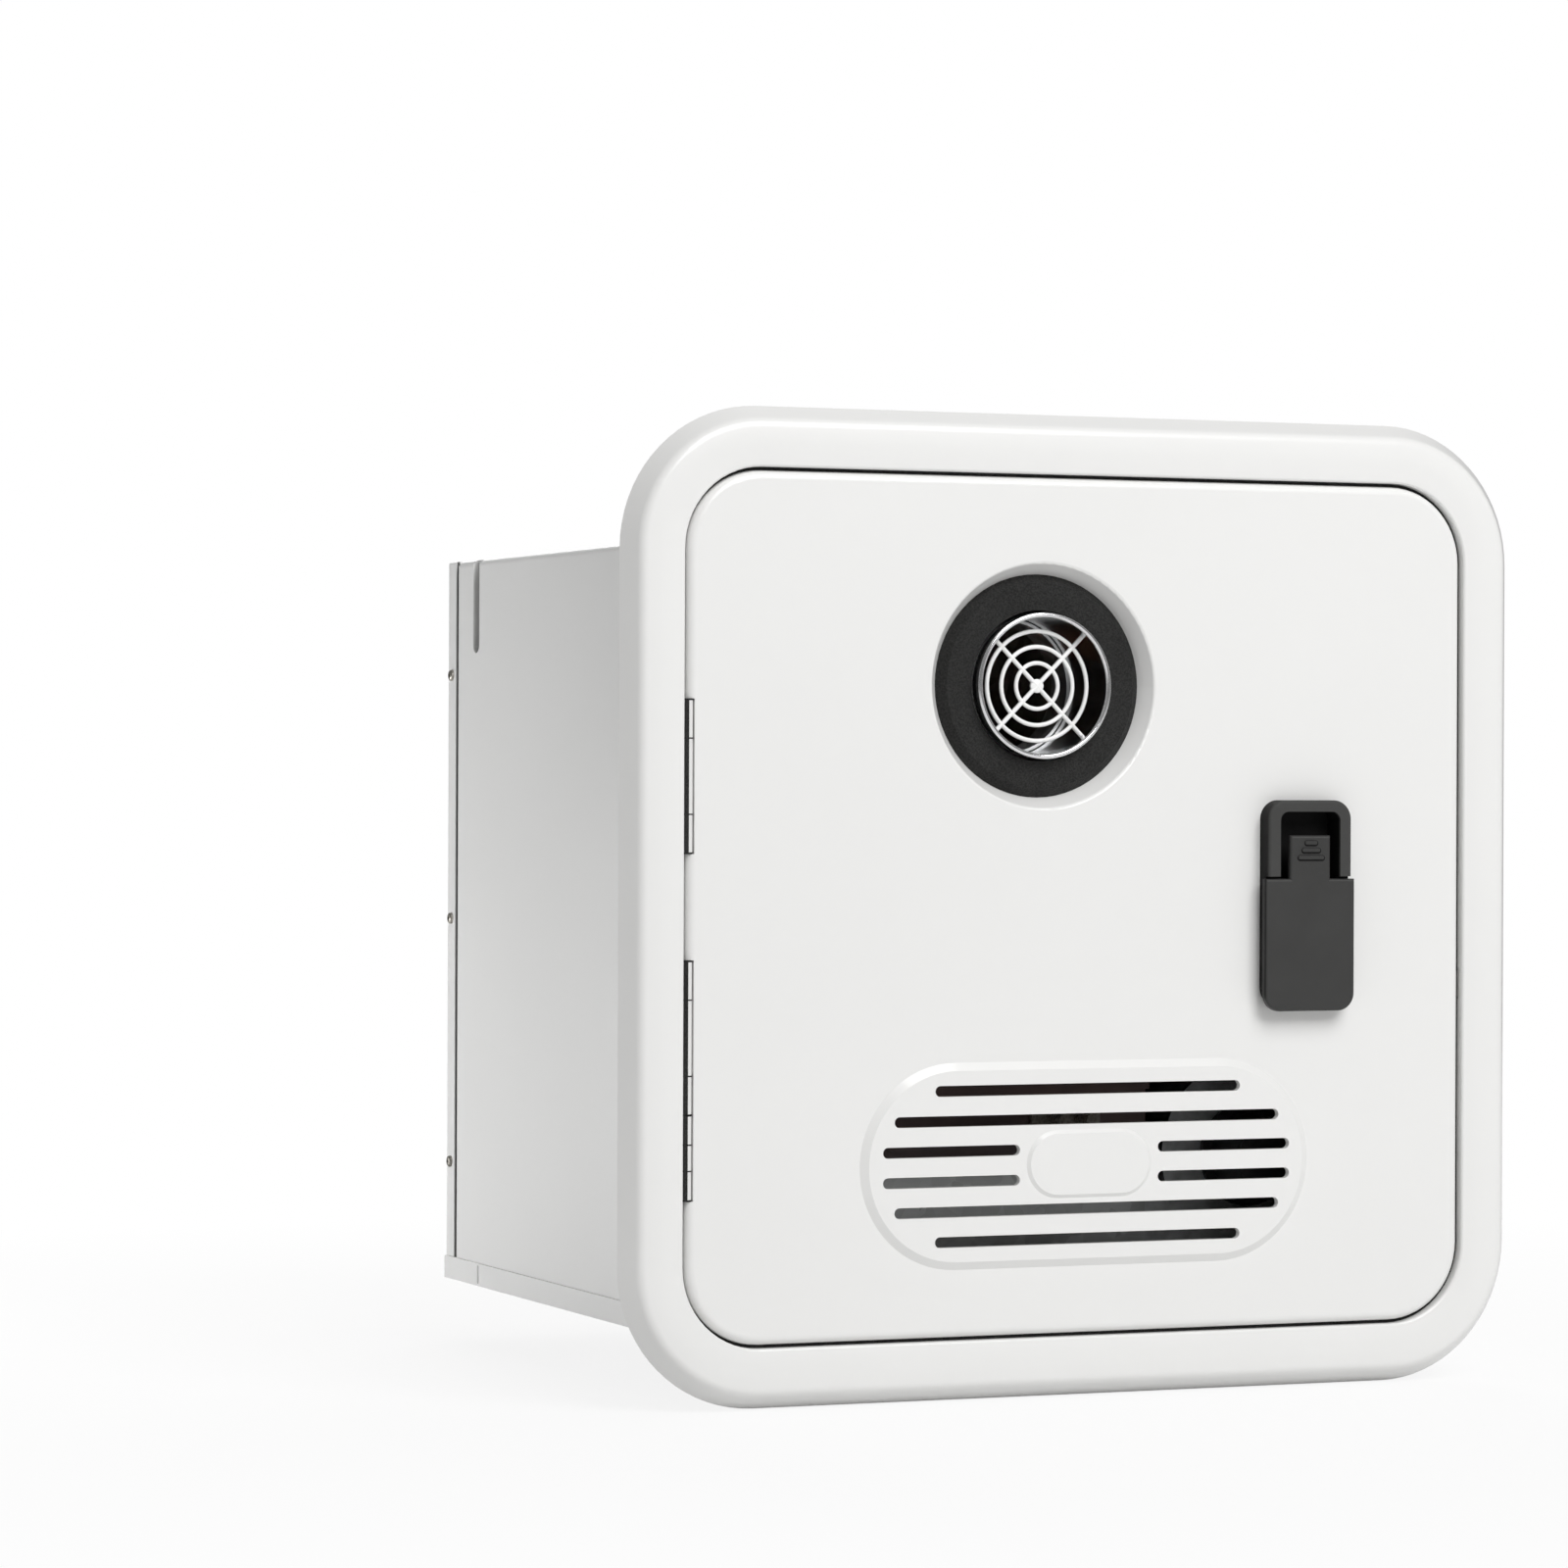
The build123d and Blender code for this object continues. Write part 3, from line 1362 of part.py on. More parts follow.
# Sockets: metal collar, black insert and pins
socket_bore_r = socket_r - 2 * socket_wall
socket_makes = (
    ("power_socket", power_place, power_pin_pitch, power_row_count),
    ("control_socket", control_place, control_pin_pitch, control_row_count),
)
for name, place, pitch, row_count in socket_makes:
    with BuildPart() as socket:
        with BuildSketch(facing(-casing_depth)):
            with Locations(place):
                Circle(socket_r)
                Circle(socket_bore_r, mode=Mode.SUBTRACT)
        extrude(amount=-socket_rise)
        with BuildSketch(facing(-casing_depth)):
            with Locations(place):
                Circle(socket_r - sheet)
                Circle(socket_bore_r, mode=Mode.SUBTRACT)
        extrude(amount=socket_body)
        rim = socket.faces().sort_by(Axis.Y)[-1].edges()
        fillet(rim.sort_by(SortBy.RADIUS)[-1], socket_wall / 2)
    socket.part.label = name + "_shell"
    export_step(socket.part, "parts/" + name + "_shell.step")
    with BuildPart() as insert:
        with BuildSketch(facing(-casing_depth - socket_rise + socket_insert_sink + socket_pin_rise)):
            with Locations(place):
                Circle(socket_bore_r)
        extrude(amount=socket_rise + socket_body - socket_insert_sink - socket_pin_rise)
        with BuildSketch(facing(-casing_depth - socket_rise + socket_insert_sink + socket_pin_rise)):
            with Locations(place):
                with GridLocations(pitch, pitch, pin_column_count, row_count):
                    Circle(socket_pin_r)
        extrude(amount=-socket_pin_rise)
    insert.part.label = name + "_insert"
    export_step(insert.part, "parts/" + name + "_insert.step")

with BuildPart() as cable_grommet:
    with BuildSketch(facing(-casing_depth)):
        with Locations(grommet_place):
            Circle(grommet_r)
            Circle(grommet_bore_r, mode=Mode.SUBTRACT)
    extrude(amount=-2 * sheet)
    with BuildSketch(facing(-casing_depth)):
        with Locations(grommet_place):
            Circle(grommet_r - sheet)
            Circle(grommet_bore_r, mode=Mode.SUBTRACT)
    extrude(amount=2 * sheet)
    fillet(cable_grommet.faces().sort_by(Axis.Y)[-1].edges(), sheet / 2)
cable_grommet.part.label = "cable_grommet"
export_step(cable_grommet.part, "parts/cable_grommet.step")

# Blank data plate on the rear panel
with BuildPart() as blank_plate:
    with BuildSketch(facing(-casing_depth)):
        with Locations((plate_x, plate_z + casing_middle)):
            RectangleRounded(plate_width, plate_height, sheet)
    extrude(amount=-plate_sheet)
blank_plate.part.label = "blank_plate"
export_step(blank_plate.part, "parts/blank_plate.step")

# Pipes


def pipe_run(corners, bend):
    """Straight runs joined by bends, drawn in the line that is open."""
    start = Vector(*corners[0])
    for before, here, after in zip(corners, corners[1:], corners[2:]):
        corner = Vector(*here)
        back = (Vector(*before) - corner).normalized()
        ahead = (Vector(*after) - corner).normalized()
        half_turn = math.radians(back.get_angle(ahead)) / 2
        setback = bend / math.tan(half_turn)
        inward = (back + ahead).normalized()
        middle = corner + inward * (bend / math.sin(half_turn) - bend)
        Line(start, corner + back * setback)
        ThreePointArc(corner + back * setback, middle, corner + ahead * setback)
        start = corner + ahead * setback
    Line(start, Vector(*corners[-1]))


port_x = core_left - port_reach
inner_end = panel_in - fitting_tail / 2
cold_port_y = tube_start
hot_port_y = tube_start + (tube_count - 1) * tube_pitch
pipe_makes = (
    (
        "cold_water_pipe",
        (
            (cold_place[0], inner_end, cold_place[1]),
            (cold_place[0], cold_port_y, cold_place[1]),
            (cold_place[0], cold_port_y, exchanger_mid),
            (port_x, cold_port_y, exchanger_mid),
        ),
        water_r,
        water_bend,
    ),
    (
        "hot_water_pipe",
        (
            (hot_place[0], inner_end, hot_place[1]),
            (hot_place[0], hot_port_y, hot_place[1]),
            (hot_place[0], hot_port_y, exchanger_mid),
            (port_x, hot_port_y, exchanger_mid),
        ),
        water_r,
        water_bend,
    ),
    (
        "gas_pipe",
        (
            (gas_place[0], inner_end, gas_place[1]),
            (gas_place[0], inner_end - 2 * gas_bend, gas_place[1]),
            (valve_x, valve_y + valve_length / 2 + valve_boss + 2 * gas_bend, valve_z),
            (valve_x, valve_y + valve_length / 2 + valve_boss, valve_z),
        ),
        gas_r,
        gas_bend,
    ),
    (
        "burner_feed_pipe",
        (
            (valve_x - valve_width / 2 - valve_boss, valve_y, valve_z),
            (core_right, valve_y, valve_z),
        ),
        gas_r,
        gas_bend,
    ),
)
for name, corners, radius, bend in pipe_makes:
    with BuildPart() as pipe:
        with BuildLine() as run:
            pipe_run(corners, bend)
        with BuildSketch(Plane(run.line @ 0, z_dir=run.line % 0)):
            Circle(radius)
        sweep(path=run.line)
    pipe.part.label = name
    export_step(pipe.part, "parts/" + name + ".step")

# Union nuts where the water pipes meet the exchanger
with BuildPart() as union_nuts:
    for port_y in (cold_port_y, hot_port_y):
        with BuildSketch(across(core_left - seat_gap - nut_length, port_y, exchanger_mid)):
            RegularPolygon(nut_r, 6)
            Circle(water_r, mode=Mode.SUBTRACT)
        extrude(amount=nut_length)
union_nuts.part.label = "union_nuts"
export_step(union_nuts.part, "parts/union_nuts.step")

with BuildPart() as water_flow_sensor:
    with BuildSketch(facing(-sensor_y)):
        with Locations(cold_place):
            RectangleRounded(sensor_side, sensor_side, sheet * 3)
            Circle(water_r, mode=Mode.SUBTRACT)
    extrude(amount=-sensor_length)
    with BuildSketch(Plane.XY.offset(cold_place[1] + sensor_side / 2)):
        with Locations((cold_place[0], sensor_y + sensor_length / 2)):
            Rectangle(sensor_side / 2, sensor_length / 2)
    extrude(amount=sensor_side / 4)
water_flow_sensor.part.label = "water_flow_sensor"
export_step(water_flow_sensor.part, "parts/water_flow_sensor.step")

# Gas valve with its coil, on a channel bracket
with BuildPart() as gas_valve:
    with BuildSketch(Plane.XY.offset(valve_z - valve_height / 2)):
        with Locations((valve_x, valve_y)):
            RectangleRounded(valve_width, valve_length, sheet * 3)
    extrude(amount=valve_height)
    chamfer(gas_valve.faces().sort_by(Axis.Z)[-1].edges(), sheet)
    with BuildSketch(Plane.XY.offset(valve_z + valve_height / 2)):
        with Locations((valve_x, valve_y)):
            Circle(valve_coil_r)
    extrude(amount=valve_coil_height)
    chamfer(gas_valve.faces().sort_by(Axis.Z)[-1].edges(), sheet)
    with BuildSketch(facing(-valve_y - valve_length / 2)):
        with Locations((valve_x, valve_z)):
            Circle(valve_boss_r)
    extrude(amount=-valve_boss)
    with BuildSketch(across(valve_x - valve_width / 2, valve_y, valve_z)):
        Circle(valve_boss_r)
    extrude(amount=-valve_boss)
gas_valve.part.label = "gas_valve"
export_step(gas_valve.part, "parts/gas_valve.step")

with BuildPart() as valve_bracket:
    with BuildSketch(facing(-valve_y + valve_length / 4)):
        with Locations((valve_x, floor_top)):
            bracket_height = valve_z - valve_height / 2 - floor_top
            Rectangle(valve_width, bracket_height, align=(Align.CENTER, Align.MIN))
            Rectangle(
                valve_width - 2 * rail_wall,
                bracket_height - rail_wall,
                align=(Align.CENTER, Align.MIN),
                mode=Mode.SUBTRACT,
            )
    extrude(amount=-valve_length / 2)
valve_bracket.part.label = "valve_bracket"
export_step(valve_bracket.part, "parts/valve_bracket.step")

# Control box on the casing's right-hand wall
with BuildPart() as control_box:
    with BuildSketch(across(box_left + lid_wall, box_front + box_depth / 2, box_bottom + box_height / 2)):
        RectangleRounded(box_depth, box_height, box_corner_r)
    extrude(amount=box_right - box_left - lid_wall)
control_box.part.label = "control_box"
export_step(control_box.part, "parts/control_box.step")

with BuildPart() as control_box_lid:
    with BuildSketch(across(box_left, box_front + box_depth / 2, box_bottom + box_height / 2)):
        RectangleRounded(box_depth, box_height, box_corner_r)
        with GridLocations(0, box_vent_pitch, 1, box_vent_count):
            SlotOverall(box_depth / 2, box_vent, mode=Mode.SUBTRACT)
    extrude(amount=lid_wall)
control_box_lid.part.label = "control_box_lid"
export_step(control_box_lid.part, "parts/control_box_lid.step")

# Igniter: a flange with two ceramic rods through the chamber's front wall
igniter_x = core_right - igniter_inset
igniter_z = chamber_base + igniter_share * chamber_height
with BuildPart() as igniter:
    with BuildSketch(facing(-core_front)):
        with Locations((igniter_x, igniter_z)):
            RectangleRounded(igniter_flange[0], igniter_flange[1], sheet * 2)
    extrude(amount=2 * sheet)
    with BuildSketch(facing(-core_front)):
        with Locations((igniter_x, igniter_z)):
            with GridLocations(igniter_pitch, 0, 2, 1):
                Circle(igniter_rod_r)
    extrude(amount=igniter_reach)
igniter.part.label = "igniter"
export_step(igniter.part, "parts/igniter.step")

# Overheat cut-out on the exchanger's front wall
cutout_x = core_left + cutout_inset
with BuildPart() as overheat_cutout:
    with BuildSketch(facing(-core_front)):
        with Locations((cutout_x, exchanger_mid)):
            Rectangle(3 * cutout_r, cutout_r)
    extrude(amount=sheet)
    with BuildSketch(facing(-core_front)):
        with Locations((cutout_x, exchanger_mid)):
            Circle(cutout_r)
    extrude(amount=cutout_rise)
    with BuildSketch(facing(-core_front + cutout_rise)):
        with Locations((cutout_x, exchanger_mid)):
            with GridLocations(cutout_r, 0, 2, 1):
                Rectangle(sheet, 2 * cutout_tab)
    extrude(amount=2 * cutout_tab)
overheat_cutout.part.label = "overheat_cutout"
export_step(overheat_cutout.part, "parts/overheat_cutout.step")

# Service switch on a bracket from the casing's right-hand wall
with BuildPart() as switch_bracket:
    with BuildSketch(Plane.XY.offset(switch_z - switch_plate_height / 2)):
        with BuildLine():
            Polyline(
                (switch_x - switch_plate_width / 2, switch_front),
                (box_right, switch_front),
                (box_right, switch_front + switch_plate_width),
                (box_right - rail_wall, switch_front + switch_plate_width),
                (box_right - rail_wall, switch_front + rail_wall),
                (switch_x - switch_plate_width / 2, switch_front + rail_wall),
                (switch_x - switch_plate_width / 2, switch_front),
            )
        make_face()
    extrude(amount=switch_plate_height)
    with BuildSketch(facing(-switch_front)):
        with Locations((switch_x, switch_z)):
            Rectangle(switch_width - 2 * rail_wall, switch_height - 2 * rail_wall)
    extrude(amount=-2 * rail_wall, mode=Mode.SUBTRACT)
switch_bracket.part.label = "switch_bracket"
export_step(switch_bracket.part, "parts/switch_bracket.step")

with BuildPart() as power_switch:
    with BuildSketch(facing(-switch_front)):
        with Locations((switch_x, switch_z)):
            Rectangle(switch_width, switch_height)
    extrude(amount=switch_bezel)
    with BuildSketch(facing(-switch_front)):
        with Locations((switch_x, switch_z)):
            Rectangle(switch_width - 2 * rail_wall, switch_height - 2 * rail_wall)
    extrude(amount=-switch_body)
    with BuildSketch(facing(-switch_front + switch_bezel)):
        with Locations((switch_x, switch_z)):
            Rectangle(rocker_width + 2 * rocker_side_gap, rocker_height + 2 * rocker_end_gap)
    extrude(amount=-switch_body / 2, mode=Mode.SUBTRACT)
    with BuildSketch(across(switch_x, switch_front + rocker_pivot, switch_z)):
        Circle(rocker_pin_r + hinge_bore_gap)
    extrude(amount=switch_width / 2 - rail_wall, both=True, mode=Mode.SUBTRACT)
power_switch.part.label = "power_switch"
export_step(power_switch.part, "parts/power_switch.step")

with BuildPart() as power_rocker:
    with BuildSketch(across(switch_x, switch_front + rocker_pivot, switch_z)):
        with BuildLine():
            Polyline(
                (-rocker_pivot - switch_bezel, 0),
                (-rocker_pivot - switch_bezel - sheet, rocker_height / 2),
                (rocker_back, rocker_height / 2),
                (rocker_back * 4, 0),
                (rocker_back, -rocker_height / 2),
                (-rocker_pivot - switch_bezel - sheet, -rocker_height / 2),
                (-rocker_pivot - switch_bezel, 0),
            )
        make_face()
    extrude(amount=rocker_width / 2, both=True)
    with BuildSketch(across(switch_x, switch_front + rocker_pivot, switch_z)):
        Circle(rocker_pin_r)
    extrude(amount=switch_width / 2 - rail_wall, both=True)
power_rocker.part.label = "power_rocker"
export_step(power_rocker.part, "parts/power_rocker.step")
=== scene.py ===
"""Caravan water heater: finishes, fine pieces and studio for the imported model."""

import math

import bmesh
import bpy
from mathutils import Matrix, Vector


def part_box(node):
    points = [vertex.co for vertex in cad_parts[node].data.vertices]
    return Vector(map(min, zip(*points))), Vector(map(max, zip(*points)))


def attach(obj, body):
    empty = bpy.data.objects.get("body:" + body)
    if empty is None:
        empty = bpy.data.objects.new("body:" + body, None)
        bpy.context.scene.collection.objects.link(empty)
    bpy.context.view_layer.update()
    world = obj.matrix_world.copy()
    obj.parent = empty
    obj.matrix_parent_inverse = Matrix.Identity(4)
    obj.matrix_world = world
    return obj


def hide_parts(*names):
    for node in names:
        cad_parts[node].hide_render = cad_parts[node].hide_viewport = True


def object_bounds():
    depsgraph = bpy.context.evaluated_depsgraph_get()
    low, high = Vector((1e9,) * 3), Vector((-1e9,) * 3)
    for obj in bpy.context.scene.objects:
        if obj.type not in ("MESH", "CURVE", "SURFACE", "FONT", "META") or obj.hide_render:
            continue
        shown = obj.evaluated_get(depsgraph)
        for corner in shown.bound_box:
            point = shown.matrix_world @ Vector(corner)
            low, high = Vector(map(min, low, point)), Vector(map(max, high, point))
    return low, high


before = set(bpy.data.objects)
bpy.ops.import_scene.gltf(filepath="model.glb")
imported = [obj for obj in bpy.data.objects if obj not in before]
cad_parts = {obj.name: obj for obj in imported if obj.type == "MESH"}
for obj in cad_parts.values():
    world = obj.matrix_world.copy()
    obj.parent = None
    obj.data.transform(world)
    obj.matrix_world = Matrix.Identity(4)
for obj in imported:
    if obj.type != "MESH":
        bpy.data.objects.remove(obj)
cad_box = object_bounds()

bl_info = {
    "name": "Caravan Water Heater",
    "version": (1, 0, 0),
    "blender": (4, 5, 0),
    "location": "3D View > Sidebar > Water Heater",
    "description": "Dresses a wall-mounted caravan water heater with finishes and fine pieces",
    "category": "Object",
}

MM = 0.001
# Middle height, length and end knuckle length of each hinge
HINGES = (
    (49.7 * MM, 58.0 * MM, 14.5 * MM),
    (-49.0 * MM, 58.0 * MM, 14.5 * MM),
    (-94.2 * MM, 32.2 * MM, 11.0 * MM),
)
BARREL_RADIUS = 1.6 * MM
HINGE_BORE = 0.9 * MM
# Half thickness of the black washer discs at a hinge's ends and between its knuckles, which also
# paint the shade in those gaps
END_WASHER = 0.36 * MM
INNER_WASHER = 0.27 * MM
# Half side and corner radius of the seam between the trim frame and the door
SEAM_OUTER = (167.05 * MM, 31.55 * MM)
SEAM_INNER = (165.95 * MM, 30.45 * MM)
# Depth of the black strip of painted shade at the bottom of the seam
SEAM_SHADE_HEIGHT = 1.2 * MM
# Grip ridges of the lever: length of each, pitch, half height and the shadow round them
RIDGE_SPANS = (5.2 * MM, 7.8 * MM, 11.2 * MM)
RIDGE_PITCH = 2.9 * MM
RIDGE_HALF = 0.75 * MM
RIDGE_SHADOW = 0.45 * MM
GUARD_RINGS = (8.9 * MM, 15.2 * MM, 21.3 * MM)
# Pressed groove in the casing's left side, from its rear top corner
GROOVE_FRONT = 42.0 * MM
GROOVE_BACK = 30.0 * MM
GROOVE_END = 44.0 * MM
# Sunk joint between the casing's left side and the rear cover, from the rear
JOINT_FRONT = 13.0 * MM
JOINT_BACK = 9.4 * MM
FITTINGS = ("hot_water_fitting", "cold_water_fitting", "gas_fitting")
THREAD_RADIUS = 10.45 * MM
EAR_RADIUS = 5.5 * MM
# From a fitting's middle to its flange screws: ears side by side, one above the other
WIDE_EAR = 19.8 * MM
TALL_EAR = 17.0 * MM
# Height of the rear panel's middle, from which screws on it and on both sides are measured
PANEL_MIDDLE = -12.75 * MM
# Screws, in mm: (x, height) on the rear panel, height on the left and right side,
# depth on the tray, x on the top
PANEL_SCREWS = ((105.7, 129.0), (-75.8, 129.0), (-68.4, -77.6), (95.7, -78.3))
LEFT_SCREWS = (105.4, 0.8, -103.9)
RIGHT_SCREWS = (125.8, -0.2, -121.8)
TRAY_SCREWS = (8.0, 139.0, 265.0)
TOP_SCREWS = (-119.0, 4.0, 127.0)
# Radius and height of the trim frame's screw heads, their line and their spread along it
TRIM_SCREW = (2.2 * MM, 0.7 * MM)
TRIM_LINE = 164.5 * MM
TRIM_SPREAD = 130.0 * MM
# Contact pins round each socket's middle, in mm
SOCKET_PINS = {
    "power_socket_insert": ((-1.8, 0.0), (1.8, 0.0)),
    "control_socket_insert": ((-1.7, -1.7), (1.7, -1.7), (-1.7, 1.7), (1.7, 1.7)),
}
# Ruled rows of the label, and its column line as a share of the width
LABEL_ROWS = 14.0
LABEL_COLUMN = 0.34
# Vertices nearer than this are one
WELD_GAP = 1e-6
FINE_WELD_GAP = 1e-7
# What the camera looks at, and how far it stands aside and above
AIM_POINT = (0.0, -10.0 * MM, 0.0)
CAMERA_ASIDE = -117.8 * MM
CAMERA_ABOVE = 46.8 * MM


# Shader writing


class Flow:
    """A socket inside a finish. Arithmetic on it adds Math nodes."""

    def __init__(self, finish, socket):
        self.finish = finish
        self.socket = socket

    def _math(self, operation, first, second):
        return self.finish.node("ShaderNodeMath", (first, second), operation=operation)

    def __add__(self, other):
        return self._math("ADD", self, other)

    def __radd__(self, other):
        return self._math("ADD", other, self)

    def __sub__(self, other):
        return self._math("SUBTRACT", self, other)

    def __rsub__(self, other):
        return self._math("SUBTRACT", other, self)

    def __mul__(self, other):
        return self._math("MULTIPLY", self, other)

    def __pow__(self, other):
        return self._math("POWER", self, other)


class Finish:
    """A material on its own shader, read in Object coordinates."""

    def __init__(self, name, **sockets):
        self.material = bpy.data.materials.new(name)
        self.material.use_nodes = True
        self.tree = self.material.node_tree
        self.shader = self.tree.nodes["Principled BSDF"]
        coordinates = self.tree.nodes.new("ShaderNodeTexCoord")
        self.place = Flow(self, coordinates.outputs["Object"])
        for socket, value in sockets.items():
            self.put(socket.replace("_", " "), value)

    def put(self, socket, value):
        """Sets a socket of the shader to a value, or links a flow to it."""
        target = self.shader.inputs[socket]
        if isinstance(value, Flow):
            self.tree.links.new(value.socket, target)
        else:
            target.default_value = value

    def node(self, kind, inputs=(), output=0, stops=(), **settings):
        """Adds a node: settings first, then the values or links of its sockets."""
        made = self.tree.nodes.new(kind)
        for setting, value in settings.items():
            setattr(made, setting, value)
        for index, (place, colour) in enumerate(stops):
            elements = made.color_ramp.elements
            stop = elements[index] if index < len(elements) else elements.new(place)
            stop.position = place
            stop.color = colour
        pairs = inputs.items() if isinstance(inputs, dict) else enumerate(inputs)
        for key, value in pairs:
            if isinstance(value, Flow):
                self.tree.links.new(value.socket, made.inputs[key])
            else:
                made.inputs[key].default_value = value
        return Flow(self, made.outputs[output])

    def noise(self, scale, detail, stretch=(1.0, 1.0, 1.0)):
        """Noise with that many waves in a metre."""
        place = self.place
        if stretch != (1.0, 1.0, 1.0):
            place = self.node("ShaderNodeMapping", {"Vector": place, "Scale": stretch})
        return self.node("ShaderNodeTexNoise", {"Vector": place, "Scale": scale, "Detail": detail})

    def cells(self, scale, output="Color"):
        """Random cells, that many in a metre."""
        return self.node("ShaderNodeTexVoronoi", {"Vector": self.place, "Scale": scale}, output)

    def blend(self, share, first, second):
        """Mixes two colours by a share."""
        inputs = {0: share, 6: first, 7: second}
        return self.node("ShaderNodeMix", inputs, 2, data_type="RGBA")

    def band(self, value, low, high):
        """0 below low, 1 above high, a straight run between."""
        inputs = {"Value": value, "From Min": low, "From Max": high}
        return self.node("ShaderNodeMapRange", inputs)

    def axis(self, index):
        """One coordinate of the surface point, in metres."""
        return self.node("ShaderNodeSeparateXYZ", (self.place,), index)

    def relief(self, height, depth, strength):
        """Bump of that depth in metres."""
        inputs = {"Height": height, "Distance": depth, "Strength": strength}
        self.put("Normal", self.node("ShaderNodeBump", inputs))


def tint(colour, amount):
    """The colour made lighter or darker by a factor, opaque."""
    return tuple(channel * amount for channel in colour[:3]) + (1.0,)


# Finishes


def gloss_moulding(name, colour):
    """White moulded plastic with a faint orange peel and a clear gloss."""
    finish = Finish(name, IOR=1.49, Coat_Roughness=0.08, Coat_IOR=1.5)
    mottle = finish.noise(9.0, 3.0)
    peel = finish.noise(260.0, 1.0)
    finish.put("Base Color", finish.blend(mottle, tint(colour, 0.99), tint(colour, 1.01)))
    finish.put("Roughness", 0.26 + mottle * 0.06)
    finish.put("Coat Weight", 0.2 + mottle * 0.08)
    finish.relief(peel, 0.03 * MM, 0.5)
    return finish.material


def powder_coat(name, colour, corner):
    """Powder-coated sheet steel: pimpled skin, with painted shade darkening the pressed groove and
    the sunk rear joint.
    """
    finish = Finish(name, IOR=1.5)
    across, along, up = (finish.axis(index) for index in range(3))
    # Painted shade: the floor of the pressed groove in the left side is darkened to 0.6 of the coat
    # colour.
    groove = finish.band(across, corner.x + 0.2 * MM, corner.x + 0.9 * MM)
    groove = groove * finish.band(across, corner.x + 6.0 * MM, corner.x + 5.0 * MM)
    front, back, end = corner.y - GROOVE_FRONT, corner.y - GROOVE_BACK, corner.z - GROOVE_END
    groove = groove * finish.band(along, front, front + 1.0 * MM)
    groove = groove * finish.band(along, back, back - 1.0 * MM)
    groove = groove * finish.band(up, end, end + 1.0 * MM)
    # Painted shade: a band along the sunk joint next to the rear cover is painted almost black,
    # 0.12 of the coat colour.
    joint = finish.band(across, corner.x + 0.3 * MM, corner.x + 0.6 * MM)
    joint = joint * finish.band(across, corner.x + 1.9 * MM, corner.x + 1.6 * MM)
    front, back = corner.y - JOINT_FRONT, corner.y - JOINT_BACK
    joint = joint * finish.band(along, front - 0.1 * MM, front + 0.1 * MM)
    joint = joint * finish.band(along, back + 0.1 * MM, back - 0.1 * MM)
    cloud = finish.noise(6.0, 4.0)
    pimple = finish.noise(1150.0, 2.0)
    wave = finish.noise(160.0, 1.0)
    coat = finish.blend(cloud, tint(colour, 0.965), tint(colour, 1.01))
    coat = finish.blend(groove, coat, tint(colour, 0.6))
    finish.put("Base Color", finish.blend(joint, coat, tint(colour, 0.12)))
    finish.put("Roughness", 0.34 + cloud * 0.12)
    finish.relief(pimple * 0.7 + wave * 0.3, 0.06 * MM, 0.6)
    return finish.material


def soft_rubber(name, colour):
    """Black rubber with a pebbled grain and a dusty bloom."""
    finish = Finish(name, IOR=1.36)
    pebble = finish.cells(1100.0, "Distance")
    grain = finish.band(finish.noise(1500.0, 3.0), 0.35, 0.65)
    bloom = finish.band(finish.noise(55.0, 5.0), 0.42, 0.72)
    finish.put("Base Color", finish.blend(grain, tint(colour, 0.35), tint(colour, 2.3)))
    finish.put("Roughness", 0.6 + bloom * 0.16)
    finish.relief(pebble * 0.7 + grain * 0.5, 0.2 * MM, 0.8)
    return finish.material


def spark_plastic(name, colour, rough, shine=0.5, front=None, sides=None):
    """Moulded plastic with a spark-eroded satin grain; where asked, painted shade darkens it behind
    its front face and along its two side faces.
    """
    finish = Finish(name, IOR=1.38, Specular_IOR_Level=shine)
    grain = finish.noise(2600.0, 3.0)
    cloud = finish.noise(40.0, 3.0)
    skin = finish.blend(cloud, tint(colour, 0.85), tint(colour, 1.15))
    # Painted shade: everything more than about a millimetre behind the front face, the sides and
    # the well inside, is darkened to a tenth.
    if front is not None:
        behind = finish.band(finish.axis(1), front + 0.5 * MM, front + 1.6 * MM)
        skin = finish.blend(behind, skin, tint(colour, 0.1))
    # Painted shade: a strip about half a millimetre wide along each side face is darkened to a
    # tenth.
    if sides is not None:
        middle, half = (sides[0] + sides[1]) / 2, (sides[1] - sides[0]) / 2
        across = (finish.axis(0) - middle) ** 2
        edge = finish.band(across, (half - 0.6 * MM) ** 2, (half - 0.2 * MM) ** 2)
        skin = finish.blend(edge, skin, tint(colour, 0.1))
    finish.put("Base Color", skin)
    finish.put("Roughness", rough + cloud * 0.14)
    finish.relief(grain, 0.07 * MM, 0.7)
    return finish.material


def polished_metal(name, colour, rough):
    """Bright plated metal with faint turning marks and a few dull spots."""
    finish = Finish(name, Metallic=1.0)
    marks = finish.noise(700.0, 2.0, (0.12, 1.0, 0.12))
    spots = finish.band(finish.noise(120.0, 4.0), 0.58, 0.78)
    finish.put("Base Color", finish.blend(spots, tint(colour, 1.0), tint(colour, 0.86)))
    finish.put("Roughness", rough + marks * 0.06 + spots * 0.12)
    finish.relief(marks, 0.01 * MM, 0.35)
    return finish.material


